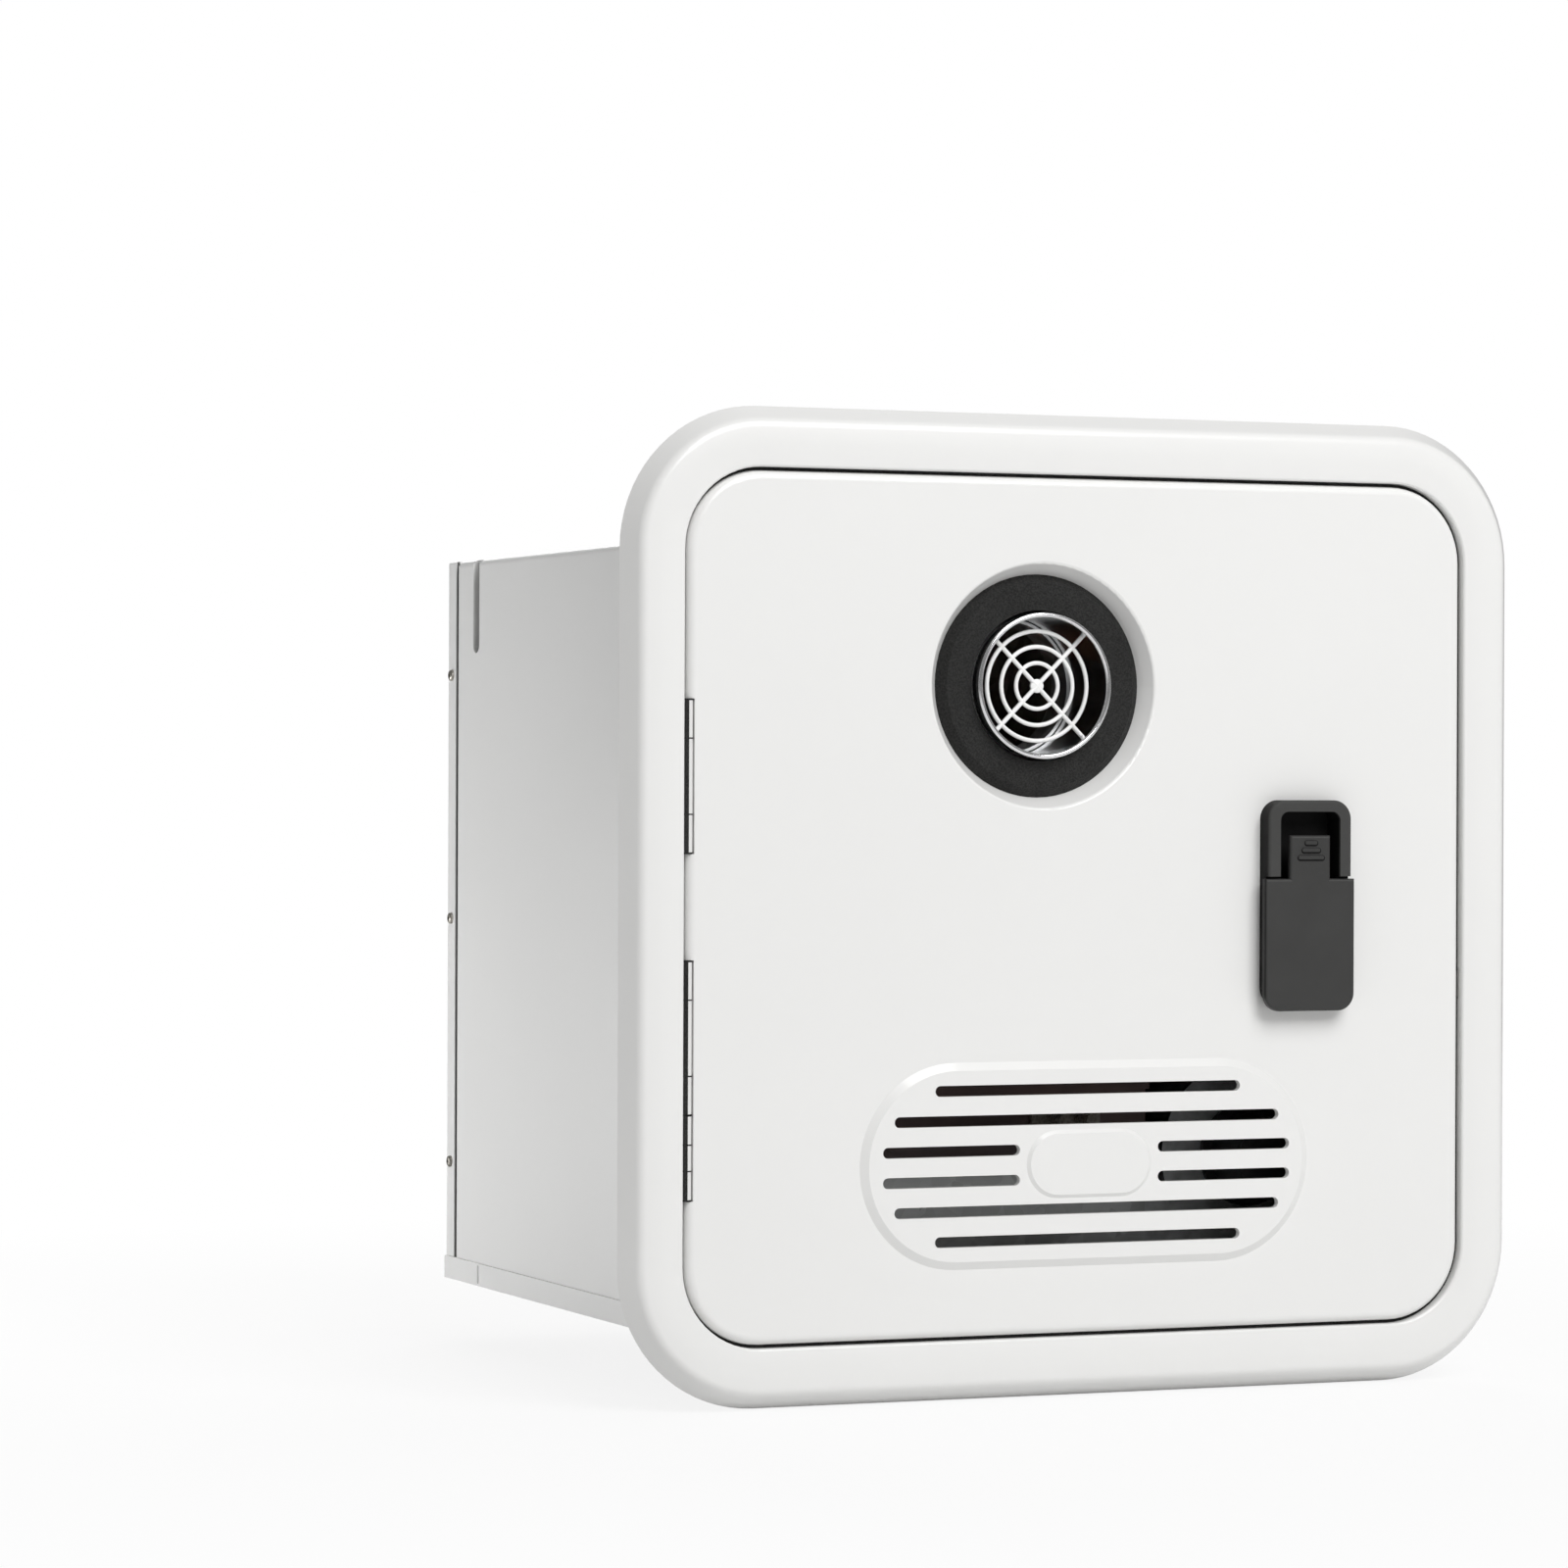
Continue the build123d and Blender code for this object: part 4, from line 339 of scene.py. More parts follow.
def cast_metal(name, colour, rough, coarse, shade_from_pipe_end=None):
    """Cast or turned metal, tarnished in patches; where asked, painted shade blackens a pipe's rear
    end, seen down a fitting's bore.
    """
    finish = Finish(name, Metallic=1.0)
    skin = finish.noise(coarse, 3.0)
    tarnish = finish.band(finish.noise(85.0, 5.0), 0.4, 0.7)
    metal = finish.blend(tarnish, tint(colour, 1.0), tint(colour, 0.68))
    # Painted shade: from a millimetre before the pipe's rear end the metal is painted nearly black.
    if shade_from_pipe_end is not None:
        depth = finish.band(finish.axis(1), shade_from_pipe_end - 1.0 * MM, shade_from_pipe_end - 0.6 * MM)
        metal = finish.blend(depth, metal, tint(colour, 0.02))
    finish.put("Base Color", metal)
    finish.put("Roughness", rough + tarnish * 0.16 + skin * 0.05)
    finish.relief(skin, 0.07 * MM, 0.6)
    return finish.material


def galvanised(name, colour):
    """Zinc-dipped sheet: flat crystals of slightly different greys."""
    finish = Finish(name, Metallic=1.0)
    crystal = finish.node("ShaderNodeRGBToBW", (finish.cells(135.0),))
    scratch = finish.noise(300.0, 3.0, (0.06, 1.0, 1.0))
    finish.put("Base Color", finish.blend(crystal, tint(colour, 0.78), tint(colour, 1.12)))
    finish.put("Roughness", 0.3 + crystal * 0.2 + scratch * 0.06)
    finish.relief(scratch * 0.5 + crystal * 0.3, 0.03 * MM, 0.5)
    return finish.material


def heated_copper(name, colour, low, high):
    """Copper sheet with a brown and violet heat stain that fades upwards."""
    finish = Finish(name, Metallic=1.0)
    patch = finish.noise(38.0, 5.0)
    rise = finish.band(finish.axis(2) + (patch - 0.5) * 0.05, low, high)
    stain = finish.node(
        "ShaderNodeValToRGB",
        (rise,),
        stops=(
            (0.0, (0.12, 0.1, 0.1, 1.0)),
            (0.35, (0.2, 0.14, 0.13, 1.0)),
            (0.65, (0.5, 0.27, 0.18, 1.0)),
            (1.0, tint(colour, 1.0)),
        ),
    )
    finish.put("Base Color", stain)
    finish.put("Roughness", 0.52 - rise * 0.2 + patch * 0.1)
    finish.relief(finish.noise(500.0, 3.0), 0.05 * MM, 0.5)
    return finish.material


def glazed_ceramic(name, colour):
    """Insulator glaze with faint crazing, in the colour given."""
    finish = Finish(name, IOR=1.6)
    craze = finish.band(finish.cells(900.0, "Distance"), 0.0, 0.6)
    finish.put("Base Color", finish.blend(craze, tint(colour, 0.86), tint(colour, 1.0)))
    finish.put("Roughness", 0.18 + craze * 0.12)
    finish.relief(craze, 0.02 * MM, 0.5)
    return finish.material


def ruled_film(name, colour, low, high):
    """Blank printed film: a thin frame and empty ruled rows."""
    finish = Finish(name, IOR=1.46)
    across = finish.band(finish.axis(0), low[0], high[0])
    up = finish.band(finish.axis(2), low[2], high[2])
    row = finish.node("ShaderNodeMath", (up * LABEL_ROWS,), operation="FRACT")
    line = finish.node("ShaderNodeMath", (row, 0.07), operation="LESS_THAN")
    column = finish.node("ShaderNodeMath", (across - LABEL_COLUMN,), operation="ABSOLUTE")
    column = finish.node("ShaderNodeMath", (column, 0.004), operation="LESS_THAN")
    ink = finish.node("ShaderNodeMath", (line, column), operation="MAXIMUM")
    for edge, thin in ((across, 0.005), (up, 0.007)):
        outer = finish.node("ShaderNodeMath", (edge - 0.5,), operation="ABSOLUTE")
        inside = finish.node("ShaderNodeMath", (outer, 0.465), operation="LESS_THAN")
        core = finish.node("ShaderNodeMath", (outer, 0.465 - thin), operation="GREATER_THAN")
        ink = finish.node("ShaderNodeMath", (ink, core), operation="MAXIMUM") * inside
    fade = finish.noise(300.0, 3.0)
    grey = (0.2, 0.22, 0.25, 1.0)
    finish.put("Base Color", finish.blend(ink * (0.5 + fade * 0.4), tint(colour, 1.0), grey))
    finish.put("Roughness", 0.3 + fade * 0.1)
    finish.relief(fade, 0.01 * MM, 0.4)
    return finish.material


# Mesh helpers


def lathe(mesh, profile, centre, steps, axis="Y"):
    """Spins a profile of (radius, distance along the axis) points round a line, closed."""
    turn = {"Y": Matrix.Identity(3), "Z": Matrix.Rotation(math.pi / 2, 3, "X")}[axis]
    verts = [
        mesh.verts.new(turn @ Vector((radius, along, 0.0)) + centre) for radius, along in profile
    ]
    edges = [mesh.edges.new(pair) for pair in zip(verts, verts[1:])]
    bmesh.ops.spin(
        mesh,
        geom=verts + edges,
        cent=centre,
        axis=turn @ Vector((0.0, 1.0, 0.0)),
        angle=2 * math.pi,
        steps=steps,
        use_merge=True,
    )


def rounded_section(centre, radius, steps):
    """Closed circle of (radius, distance along the axis) points, to spin into a ring."""
    angles = [math.tau * step / steps for step in range(steps + 1)]
    return [
        (centre[0] + radius * math.cos(angle), centre[1] + radius * math.sin(angle))
        for angle in angles
    ]


def rod(mesh, radius, length, segments, turn):
    """Capped round rod at the origin, along Z and then turned by the matrix."""
    verts = bmesh.ops.create_cone(
        mesh, cap_ends=True, segments=segments, radius1=radius, radius2=radius, depth=length
    )["verts"]
    bmesh.ops.rotate(mesh, verts=verts, cent=(0, 0, 0), matrix=turn)
    return verts


def weld(mesh, gap=WELD_GAP):
    """Closes seams and poles, then turns every face outwards."""
    bmesh.ops.remove_doubles(mesh, verts=mesh.verts[:], dist=gap)
    bmesh.ops.recalc_face_normals(mesh, faces=mesh.faces[:])


def finish_piece(mesh, name, material, body, sharp, stands_for=()):
    """Makes an object of the mesh, rides it on a body and names its finish."""
    for face in mesh.faces:
        face.smooth = True
    for edge in mesh.edges:
        if len(edge.link_faces) == 2 and edge.calc_face_angle() > math.radians(sharp):
            edge.smooth = False
    data = bpy.data.meshes.new(name)
    mesh.to_mesh(data)
    mesh.free()
    data.materials.append(material)
    piece = bpy.data.objects.new(name, data)
    bpy.context.scene.collection.objects.link(piece)
    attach(piece, body)
    if stands_for:
        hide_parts(*stands_for)


def screw_head(mesh, seat, radius, height):
    """Pan head with a cross recess, standing on the seat's XY plane."""
    start = len(mesh.verts)
    mesh.verts.ensure_lookup_table()
    made = []
    rings = ((1.0, 0.0), (1.0, 0.42), (0.93, 0.7), (0.8, 0.9), (0.6, 1.0))
    for share, rise in rings:
        ring = bmesh.ops.create_circle(mesh, segments=20, radius=radius * share)["verts"]
        bmesh.ops.translate(mesh, verts=ring, vec=(0.0, 0.0, height * rise))
        loop = {edge for vert in ring for edge in vert.link_edges}
        made.append((ring, loop))
    arm, half = radius * 0.46, radius * 0.13
    for rise in (1.0, 0.35):
        corners = []
        for quarter in range(4):
            turn = Matrix.Rotation(quarter * math.pi / 2, 3, "Z")
            for x, y in ((half, -half), (arm, -half), (arm, half)):
                corners.append(mesh.verts.new(turn @ Vector((x, y, height * rise))))
        loop = {mesh.edges.new(pair) for pair in zip(corners, corners[1:] + corners[:1])}
        made.append((corners, loop))
    for (_, first), (_, second) in zip(made, made[1:]):
        bmesh.ops.bridge_loops(mesh, edges=list(first | second))
    mesh.faces.new(made[-1][0])
    mesh.faces.new(made[0][0])
    mesh.verts.ensure_lookup_table()
    bmesh.ops.transform(mesh, matrix=seat, verts=mesh.verts[start:])


def seat_at(place, outward):
    """Matrix that stands a screw head on a face."""
    turn = Vector(outward).to_track_quat("Z", "Y").to_matrix().to_4x4()
    return Matrix.Translation(Vector(place)) @ turn


# User settings


def colour_setting(name, description, default):
    return bpy.props.FloatVectorProperty(
        name=name,
        description=description,
        subtype="COLOR",
        size=3,
        min=0.0,
        max=1.0,
        default=default,
    )


def length_setting(name, description, default):
    return bpy.props.FloatProperty(
        name=name, description=description, unit="LENGTH", precision=5, min=0.0, default=default
    )


def angle_setting(name, description, degrees):
    return bpy.props.FloatProperty(
        name=name, description=description, subtype="ANGLE", default=math.radians(degrees)
    )


class HeaterColours(bpy.types.PropertyGroup):
    moulding: colour_setting("Moulding", "Door and trim frame", (0.85, 0.848, 0.836))
    casing: colour_setting("Casing", "Coated sheet of the casing", (0.86, 0.86, 0.85))
    latch: colour_setting("Latch", "Latch housing and lever", (0.042, 0.042, 0.041))
    rubber: colour_setting("Rubber", "Exhaust ring, gasket and grommet", (0.009, 0.009, 0.0085))
    plating: colour_setting("Plating", "Exhaust tube and socket shells", (0.82, 0.82, 0.83))
    zinc: colour_setting("Zinc", "Screws, pins and small steel", (0.43, 0.41, 0.37))
    brass: colour_setting("Brass", "Pipe fittings and nuts", (0.73, 0.54, 0.29))
    copper: colour_setting("Copper", "Water pipes and exchanger", (0.83, 0.47, 0.32))
    steel: colour_setting("Steel", "Galvanised inner sheet", (0.62, 0.63, 0.63))
    casting: colour_setting("Casting", "Gas valve, gas pipes and fan scroll", (0.68, 0.69, 0.7))


class HeaterSizes(bpy.types.PropertyGroup):
    guard_wire: length_setting("Guard wire", "Radius of the flue guard's wire", 0.85 * MM)
    guard_hub: length_setting("Guard hub", "Radius of the guard's hub", 2.7 * MM)
    rim_roll: length_setting("Rim roll", "Radius of the rolled rim of the flue", 0.95 * MM)
    thread_pitch: length_setting("Thread pitch", "Pitch of the pipe threads", 1.8 * MM)
    thread_depth: length_setting("Thread depth", "Depth of the pipe threads", 1.0 * MM)
    screw_radius: length_setting("Screw radius", "Radius of the casing's screw heads", 4.0 * MM)
    screw_height: length_setting("Screw height", "Height of the casing's screw heads", 2.3 * MM)
    pin_radius: length_setting("Pin radius", "Radius of the socket pins", 0.9 * MM)


class HeaterStudio(bpy.types.PropertyGroup):
    heading: angle_setting("Heading", "Turn of the camera to the right", 22.37)
    tilt: angle_setting("Tilt", "Tilt of the camera upwards", -0.1)
    roll: angle_setting("Roll", "Roll of the camera", 0.21)
    distance: length_setting("Distance", "Camera distance", 2.068)
    lens: bpy.props.FloatProperty(
        name="Lens", description="Focal length", subtype="DISTANCE_CAMERA", default=122.4
    )
    light: bpy.props.FloatProperty(
        name="Light", description="Strength of all lamps", min=0.0, default=1.0
    )


def colour(name):
    return tuple(getattr(bpy.context.scene.heater_colours, name))


def shared(name, maker, *values):
    """A finish by name, made on first use."""
    return bpy.data.materials.get(name) or maker(name, *values)


def zinc_finish():
    return shared("zinc_plate", cast_metal, colour("zinc"), 0.3, 1500.0)


def brass_finish():
    return shared("turned_brass", cast_metal, colour("brass"), 0.24, 1200.0)


def guard_finish():
    return shared("guard_enamel", gloss_moulding, (0.93, 0.93, 0.92))


def rubber_finish():
    return shared("soft_rubber", soft_rubber, colour("rubber"))


def plating_finish():
    return shared("bright_plating", polished_metal, colour("plating"), 0.13)


def nickel_finish():
    return shared("nickel_plating", polished_metal, (0.66, 0.65, 0.62), 0.14)


# Operators


class HEATER_OT_finishes(bpy.types.Operator):
    """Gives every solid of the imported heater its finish"""

    bl_idname = "heater.finishes"
    bl_label = "Finishes"

    def execute(self, context):
        moulding = shared("gloss_moulding", gloss_moulding, colour("moulding"))
        hinge = shared("hinge_paint", gloss_moulding, tint(colour("moulding"), 0.93))
        shell_low, shell_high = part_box("casing_wrapper")
        groove_corner = Vector((shell_low.x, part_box("rear_cover")[1].y, shell_high.z))
        casing = shared("powder_coat", powder_coat, colour("casing"), groove_corner)
        # The lever gets painted shade along its two side faces.
        sides = tuple(corner.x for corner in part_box("latch_lever"))
        latch = shared("latch_plastic", spark_plastic, colour("latch"), 0.36, 0.5, None, sides)
        housing = tint(colour("latch"), 1.45)
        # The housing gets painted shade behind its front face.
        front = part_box("latch_housing")[0].y
        housing_painted_shade = shared("latch_housing_plastic", spark_plastic, housing, 0.5, 0.2, front)
        rubber, plating, nickel = rubber_finish(), plating_finish(), nickel_finish()
        zinc, brass = zinc_finish(), brass_finish()
        # The water and gas pipes get painted shade at their rear ends.
        water_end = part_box("hot_water_pipe")[1].y
        gas_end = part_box("gas_pipe")[1].y
        copper = shared("copper_pipe", cast_metal, colour("copper"), 0.28, 700.0, water_end)
        steel = shared("galvanised_sheet", galvanised, colour("steel"))
        casting = shared("die_casting", cast_metal, colour("casting"), 0.44, 600.0)
        gas_metal = shared("gas_pipe_metal", cast_metal, colour("casting"), 0.44, 600.0, gas_end)
        black = shared("black_plastic", spark_plastic, (0.02, 0.02, 0.021), 0.42)
        grey = shared("grey_plastic", spark_plastic, (0.24, 0.25, 0.26), 0.44)
        base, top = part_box("combustion_chamber")[0].z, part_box("heat_exchanger")[1].z
        chamber = shared("heated_copper", heated_copper, colour("copper"), base, top)
        # The igniter's glaze is given a dark tan, darkened to paint the shade inside the casing
        # seen through the louvre.
        ceramic = shared("glazed_ceramic", glazed_ceramic, (0.3, 0.27, 0.23))
        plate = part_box("blank_plate")
        film = shared("ruled_film", ruled_film, (0.8, 0.81, 0.82), *plate)
        worn = {
            "door_frame": moulding,
            "door_panel": moulding,
            "hinge_frame_leaves": hinge,
            "hinge_door_leaves": hinge,
            "hinge_pins": zinc,
            "wall_plate": casing,
            "casing_wrapper": casing,
            "bottom_tray": casing,
            "rear_cover": casing,
            "blank_plate": film,
            "latch_housing": housing_painted_shade,
            "latch_lever": latch,
            "latch_bolt": zinc,
            "latch_pin": zinc,
            "latch_spring": zinc,
            "bolt_guides": zinc,
            "exhaust_ring": rubber,
            "door_gasket": rubber,
            "cable_grommet": rubber,
            "exhaust_tube": plating,
            "exhaust_grille": guard_finish(),
            "power_socket_shell": nickel,
            "control_socket_shell": nickel,
            "power_socket_insert": black,
            "control_socket_insert": black,
            "hot_water_fitting": brass,
            "cold_water_fitting": brass,
            "gas_fitting": brass,
            "union_nuts": brass,
            "heat_exchanger": chamber,
            "combustion_chamber": chamber,
            "cold_water_pipe": copper,
            "hot_water_pipe": copper,
            "flue_hood": steel,
            "burner_box": steel,
            "burner": steel,
            "support_rails": steel,
            "fan_bracket": steel,
            "valve_bracket": steel,
            "switch_bracket": steel,
            "fan_impeller": steel,
            "fan_shaft": zinc,
            "fan_housing": casting,
            "fan_motor": black,
            "gas_pipe": gas_metal,
            "burner_feed_pipe": casting,
            "gas_valve": casting,
            "water_flow_sensor": black,
            "control_box": grey,
            "control_box_lid": grey,
            "igniter": ceramic,
            "overheat_cutout": zinc,
            "power_switch": black,
            "power_rocker": grey,
        }
        bare = sorted(set(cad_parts) - set(worn))
        if bare:
            raise RuntimeError(f"no finish for {bare}")
        for node, material in worn.items():
            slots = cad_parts[node].data.materials
            slots.clear()
            slots.append(material)
        return {"FINISHED"}


class HEATER_OT_guard(bpy.types.Operator):
    """Makes the round wire guard in the flue outlet"""

    bl_idname = "heater.guard"
    bl_label = "Flue guard"

    def execute(self, context):
        sizes = context.scene.heater_sizes
        wire = sizes.guard_wire
        low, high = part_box("exhaust_tube")
        tube_radius = (high.x - low.x) / 2
        reach = tube_radius - 1.3 * MM
        centre = (low + high) / 2
        centre.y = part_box("exhaust_grille")[0].y + wire
        mesh = bmesh.new()
        for ring_radius in GUARD_RINGS:
            lathe(mesh, rounded_section((ring_radius, 0.0), wire, 12), centre, 96)
        for turn in (math.pi / 4, -math.pi / 4):
            turned = Matrix.Rotation(turn, 3, "Y")
            bar = rod(mesh, wire * 1.05, 2 * reach, 16, turned)
            bmesh.ops.translate(mesh, verts=bar, vec=centre)
        hub = sizes.guard_hub
        dome = [
            (0.0, -wire),
            (hub * 0.7, -wire * 0.95),
            (hub, -wire * 0.4),
            (hub, wire),
            (0.0, wire),
        ]
        lathe(mesh, dome, centre, 32)
        weld(mesh)
        finish_piece(
            mesh,
            "flue_guard_wires",
            guard_finish(),
            "cabinet",
            50.0,
            ("exhaust_grille",),
        )
        mesh = bmesh.new()
        roll = sizes.rim_roll
        rim = (tube_radius - roll, low.y + 0.7 * roll)
        lathe(mesh, rounded_section(rim, roll, 16), Vector((centre.x, 0.0, centre.z)), 128)
        weld(mesh)
        finish_piece(mesh, "flue_rim_roll", plating_finish(), "cabinet", 50.0)
        return {"FINISHED"}


class HEATER_OT_hinge_details(bpy.types.Operator):
    """Makes black washer discs at the ends and joints of the three hinges' knuckles, which also
    paint the shade in those gaps, and thin black strips of painted shade beside the barrels
    """

    bl_idname = "heater.hinge_details"
    bl_label = "Hinge details"

    def execute(self, context):
        low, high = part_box("hinge_pins")
        axis_x, axis_y = (low.x + high.x) / 2, (low.y + high.y) / 2
        outer = BARREL_RADIUS + 0.03 * MM
        washers_painted_gap_shade, painted_shade_strips = bmesh.new(), bmesh.new()
        for middle, length, knuckle in HINGES:
            end = (length / 2, END_WASHER)
            inner = (length / 2 - knuckle - 0.15 * MM, INNER_WASHER)
            for side in (-1, 1):
                for place, half in (end, inner):
                    section = [
                        (HINGE_BORE, -half),
                        (outer, -half),
                        (outer, half),
                        (HINGE_BORE, half),
                        (HINGE_BORE, -half),
                    ]
                    centre = Vector((axis_x, axis_y, middle + side * place))
                    lathe(washers_painted_gap_shade, section, centre, 32, "Z")
            # Painted shade: a thin black strip beside each barrel stands for the dark gap between
            # the trim frame and the barrel.
            lip = bmesh.ops.create_cube(painted_shade_strips, size=1.0)["verts"]
            bmesh.ops.scale(painted_shade_strips, verts=lip, vec=(1.75 * MM, 0.14 * MM, length + 0.4 * MM))
            place = (axis_x - 1.3 * MM, axis_y - BARREL_RADIUS - 0.05 * MM, middle)
            bmesh.ops.translate(painted_shade_strips, verts=lip, vec=place)
        for name, mesh in (("hinge_washers", washers_painted_gap_shade), ("hinge_lips", painted_shade_strips)):
            weld(mesh)
            finish_piece(mesh, name, rubber_finish(), "cabinet", 40.0)
        return {"FINISHED"}


class HEATER_OT_door_seam_shade(bpy.types.Operator):
    """Makes painted shade: a black strip at the bottom of the seam round the door"""

    bl_idname = "heater.door_seal"
    bl_label = "Door seal"

    def execute(self, context):
        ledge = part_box("hinge_frame_leaves")[1].y
        mesh = bmesh.new()
        loops = []
        for (half, corner), y in (
            (SEAM_OUTER, ledge),
            (SEAM_OUTER, ledge - SEAM_SHADE_HEIGHT),
            (SEAM_INNER, ledge - SEAM_SHADE_HEIGHT),
            (SEAM_INNER, ledge),
        ):
            verts = []
            for quarter, (right, up) in enumerate(((1, 1), (-1, 1), (-1, -1), (1, -1))):
                for step in range(17):
                    angle = (quarter + step / 16) * math.pi / 2
                    x = right * (half - corner) + corner * math.cos(angle)
                    z = up * (half - corner) + corner * math.sin(angle)
                    verts.append(mesh.verts.new((x, y, z)))
            loops.append(verts)
        for first, second in zip(loops, loops[1:] + loops[:1]):
            for index in range(len(first)):
                after = (index + 1) % len(first)
                mesh.faces.new((first[index], first[after], second[after], second[index]))
        weld(mesh, FINE_WELD_GAP)
        finish_piece(mesh, "door_seam_seal", rubber_finish(), "cabinet", 40.0)
        return {"FINISHED"}


class HEATER_OT_lever_painted_shadows(bpy.types.Operator):
    """Makes painted shadows: thin black plates round the lever's grip ridges, set down and to the
    right of them
    """

    bl_idname = "heater.lever_marks"
    bl_label = "Lever undercuts"

    def execute(self, context):
        low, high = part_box("latch_lever")
        face = low.y + 0.52 * MM
        # The plates sit down and to the right of the ridges, as shadows of light from the upper
        # left.
        shift, radius = 0.25 * MM, RIDGE_HALF + RIDGE_SHADOW
        middle_x = (low.x + high.x) / 2 + shift
        mesh = bmesh.new()
        for row, span in enumerate(RIDGE_SPANS, 1):
            half = span / 2 - RIDGE_HALF
            ring = []
            for step in range(25):
                angle = math.pi / 2 + math.pi * step / 24
                ring.append((-half + radius * math.cos(angle), radius * math.sin(angle)))
            ring += [(-x, -z) for x, z in ring]
            middle_z = high.z - row * RIDGE_PITCH - shift
            front = mesh.faces.new(
                [mesh.verts.new((middle_x + x, face, middle_z + z)) for x, z in ring]
            )
            extruded = bmesh.ops.extrude_face_region(mesh, geom=[front])["geom"]
            back = [item for item in extruded if isinstance(item, bmesh.types.BMVert)]
            bmesh.ops.translate(mesh, verts=back, vec=(0.0, 0.2 * MM, 0.0))
        weld(mesh, FINE_WELD_GAP)
        black = shared("undercut_plastic", spark_plastic, (0.003, 0.003, 0.003), 0.7)
        finish_piece(mesh, "lever_undercuts", black, "latch", 40.0)
        return {"FINISHED"}


class HEATER_OT_fittings(bpy.types.Operator):
    """Makes the three threaded brass fittings on the rear panel"""

    bl_idname = "heater.fittings"
    bl_label = "Pipe fittings"

    def execute(self, context):
        sizes = context.scene.heater_sizes
        pitch, depth = sizes.thread_pitch, sizes.thread_depth
        crest, root, flank = THREAD_RADIUS, THREAD_RADIUS - depth, THREAD_RADIUS - 0.12 * MM
        bore, collar = 7.2 * MM, 12.0 * MM
        wall, shoulder = bore + 2.0 * MM, collar + 1.0 * MM
        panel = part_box("rear_cover")[1].y
        seat, lip = panel - 5.0 * MM, panel + 3.0 * MM
        upright = Matrix.Rotation(math.pi / 2, 3, "X")
        for node in FITTINGS:
            low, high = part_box(node)
            centre = Vector(((low.x + high.x) / 2, 0.0, (low.z + high.z) / 2))
            end = high.y
            profile = [
                (bore, low.y),
                (wall, low.y),
                (wall, seat),
                (shoulder, seat),
                (shoulder, panel - 1.02 * MM),
                (collar, panel - 1.0 * MM),
                (collar, lip - 0.4 * MM),
                (collar - 0.4 * MM, lip),
                (root, lip),
                (root, lip + 0.5 * MM),
            ]
            along = lip + 0.7 * MM
            while along + pitch < end - 1.4 * MM:
                profile += [
                    (root, along),
                    (flank, along + pitch * 0.38),
                    (crest, along + pitch * 0.5),
                    (flank, along + pitch * 0.62),
                ]
                along += pitch
            profile += [
                (root, along),
                (root - 0.1 * MM, end - 0.8 * MM),
                (root - 0.7 * MM, end),
                (bore + 0.5 * MM, end),
                (bore, end - 0.5 * MM),
                (bore, low.y),
            ]
            mesh = bmesh.new()
            lathe(mesh, profile, centre, 72)
            weld(mesh)
            wide = high.x - low.x > high.z - low.z
            half = max(high.x - low.x, high.z - low.z) / 2
            for side in (-1, 1):
                ear = rod(mesh, EAR_RADIUS, 3.9 * MM, 28, upright)
                step = side * (half - EAR_RADIUS)
                across, up = (step, 0.0) if wide else (0.0, step)
                shift = Vector((across, panel - 3.0 * MM, up))
                bmesh.ops.translate(mesh, verts=ear, vec=centre + shift)
            name = node + "_threaded"
            finish_piece(mesh, name, brass_finish(), "cabinet", 40.0, (node,))
        return {"FINISHED"}


class HEATER_OT_screws(bpy.types.Operator):
    """Makes the cross-head screws of the casing, rear panel, fittings and trim frame"""

    bl_idname = "heater.screws"
    bl_label = "Screws"

    def execute(self, context):
        sizes = context.scene.heater_sizes
        radius, height = sizes.screw_radius, sizes.screw_height
        shell_low, shell_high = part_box("casing_wrapper")
        tray_low, tray_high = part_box("bottom_tray")
        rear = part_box("rear_cover")[1].y
        side_y, lap_y = rear - 4.5 * MM, rear - 17.0 * MM
        tray_z = tray_low.z + 9.0 * MM
        left, right, above, behind = (-1, 0, 0), (1, 0, 0), (0, 0, 1), (0, 1, 0)
        small = [((shell_low.x, side_y, PANEL_MIDDLE + up * MM), left) for up in LEFT_SCREWS]
        casing = [((tray_high.x, lap_y, PANEL_MIDDLE + up * MM), right) for up in RIGHT_SCREWS]
        casing += [((tray_high.x, back * MM, tray_z), right) for back in TRAY_SCREWS]
        casing += [((x * MM, side_y, shell_high.z), above) for x in TOP_SCREWS]
        panel = [((x * MM, rear, PANEL_MIDDLE + up * MM), behind) for x, up in PANEL_SCREWS]
        for node in FITTINGS:
            low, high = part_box(node)
            middle = (low + high) / 2
            wide = high.x - low.x > high.z - low.z
            for side in (-1, 1):
                across, up = (side * WIDE_EAR, 0.0) if wide else (0.0, side * TALL_EAR)
                panel.append(((middle.x + across, rear, middle.z + up), behind))
        for name, places, share in (
            ("casing_screw_heads", casing, 1.0),
            ("side_screw_heads", small, 0.6),
            ("rear_panel_screw_heads", panel, 1.0),
        ):
            mesh = bmesh.new()
            for place, outward in places:
                screw_head(mesh, seat_at(place, outward), radius * share, height * share)
            weld(mesh, FINE_WELD_GAP)
            finish_piece(mesh, name, zinc_finish(), "cabinet", 30.0)
        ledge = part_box("door_gasket")[1].y
        mesh = bmesh.new()
        for side in (-1, 1):
            for step in (-1, 0, 1):
                line, along = side * TRIM_LINE, step * TRIM_SPREAD
                for x, z in ((line, along), (along, line)):
                    screw_head(mesh, seat_at((x, ledge, z), (0, -1, 0)), *TRIM_SCREW)
        weld(mesh, FINE_WELD_GAP)
        finish_piece(mesh, "trim_frame_screw_heads", zinc_finish(), "cabinet", 30.0)
        return {"FINISHED"}


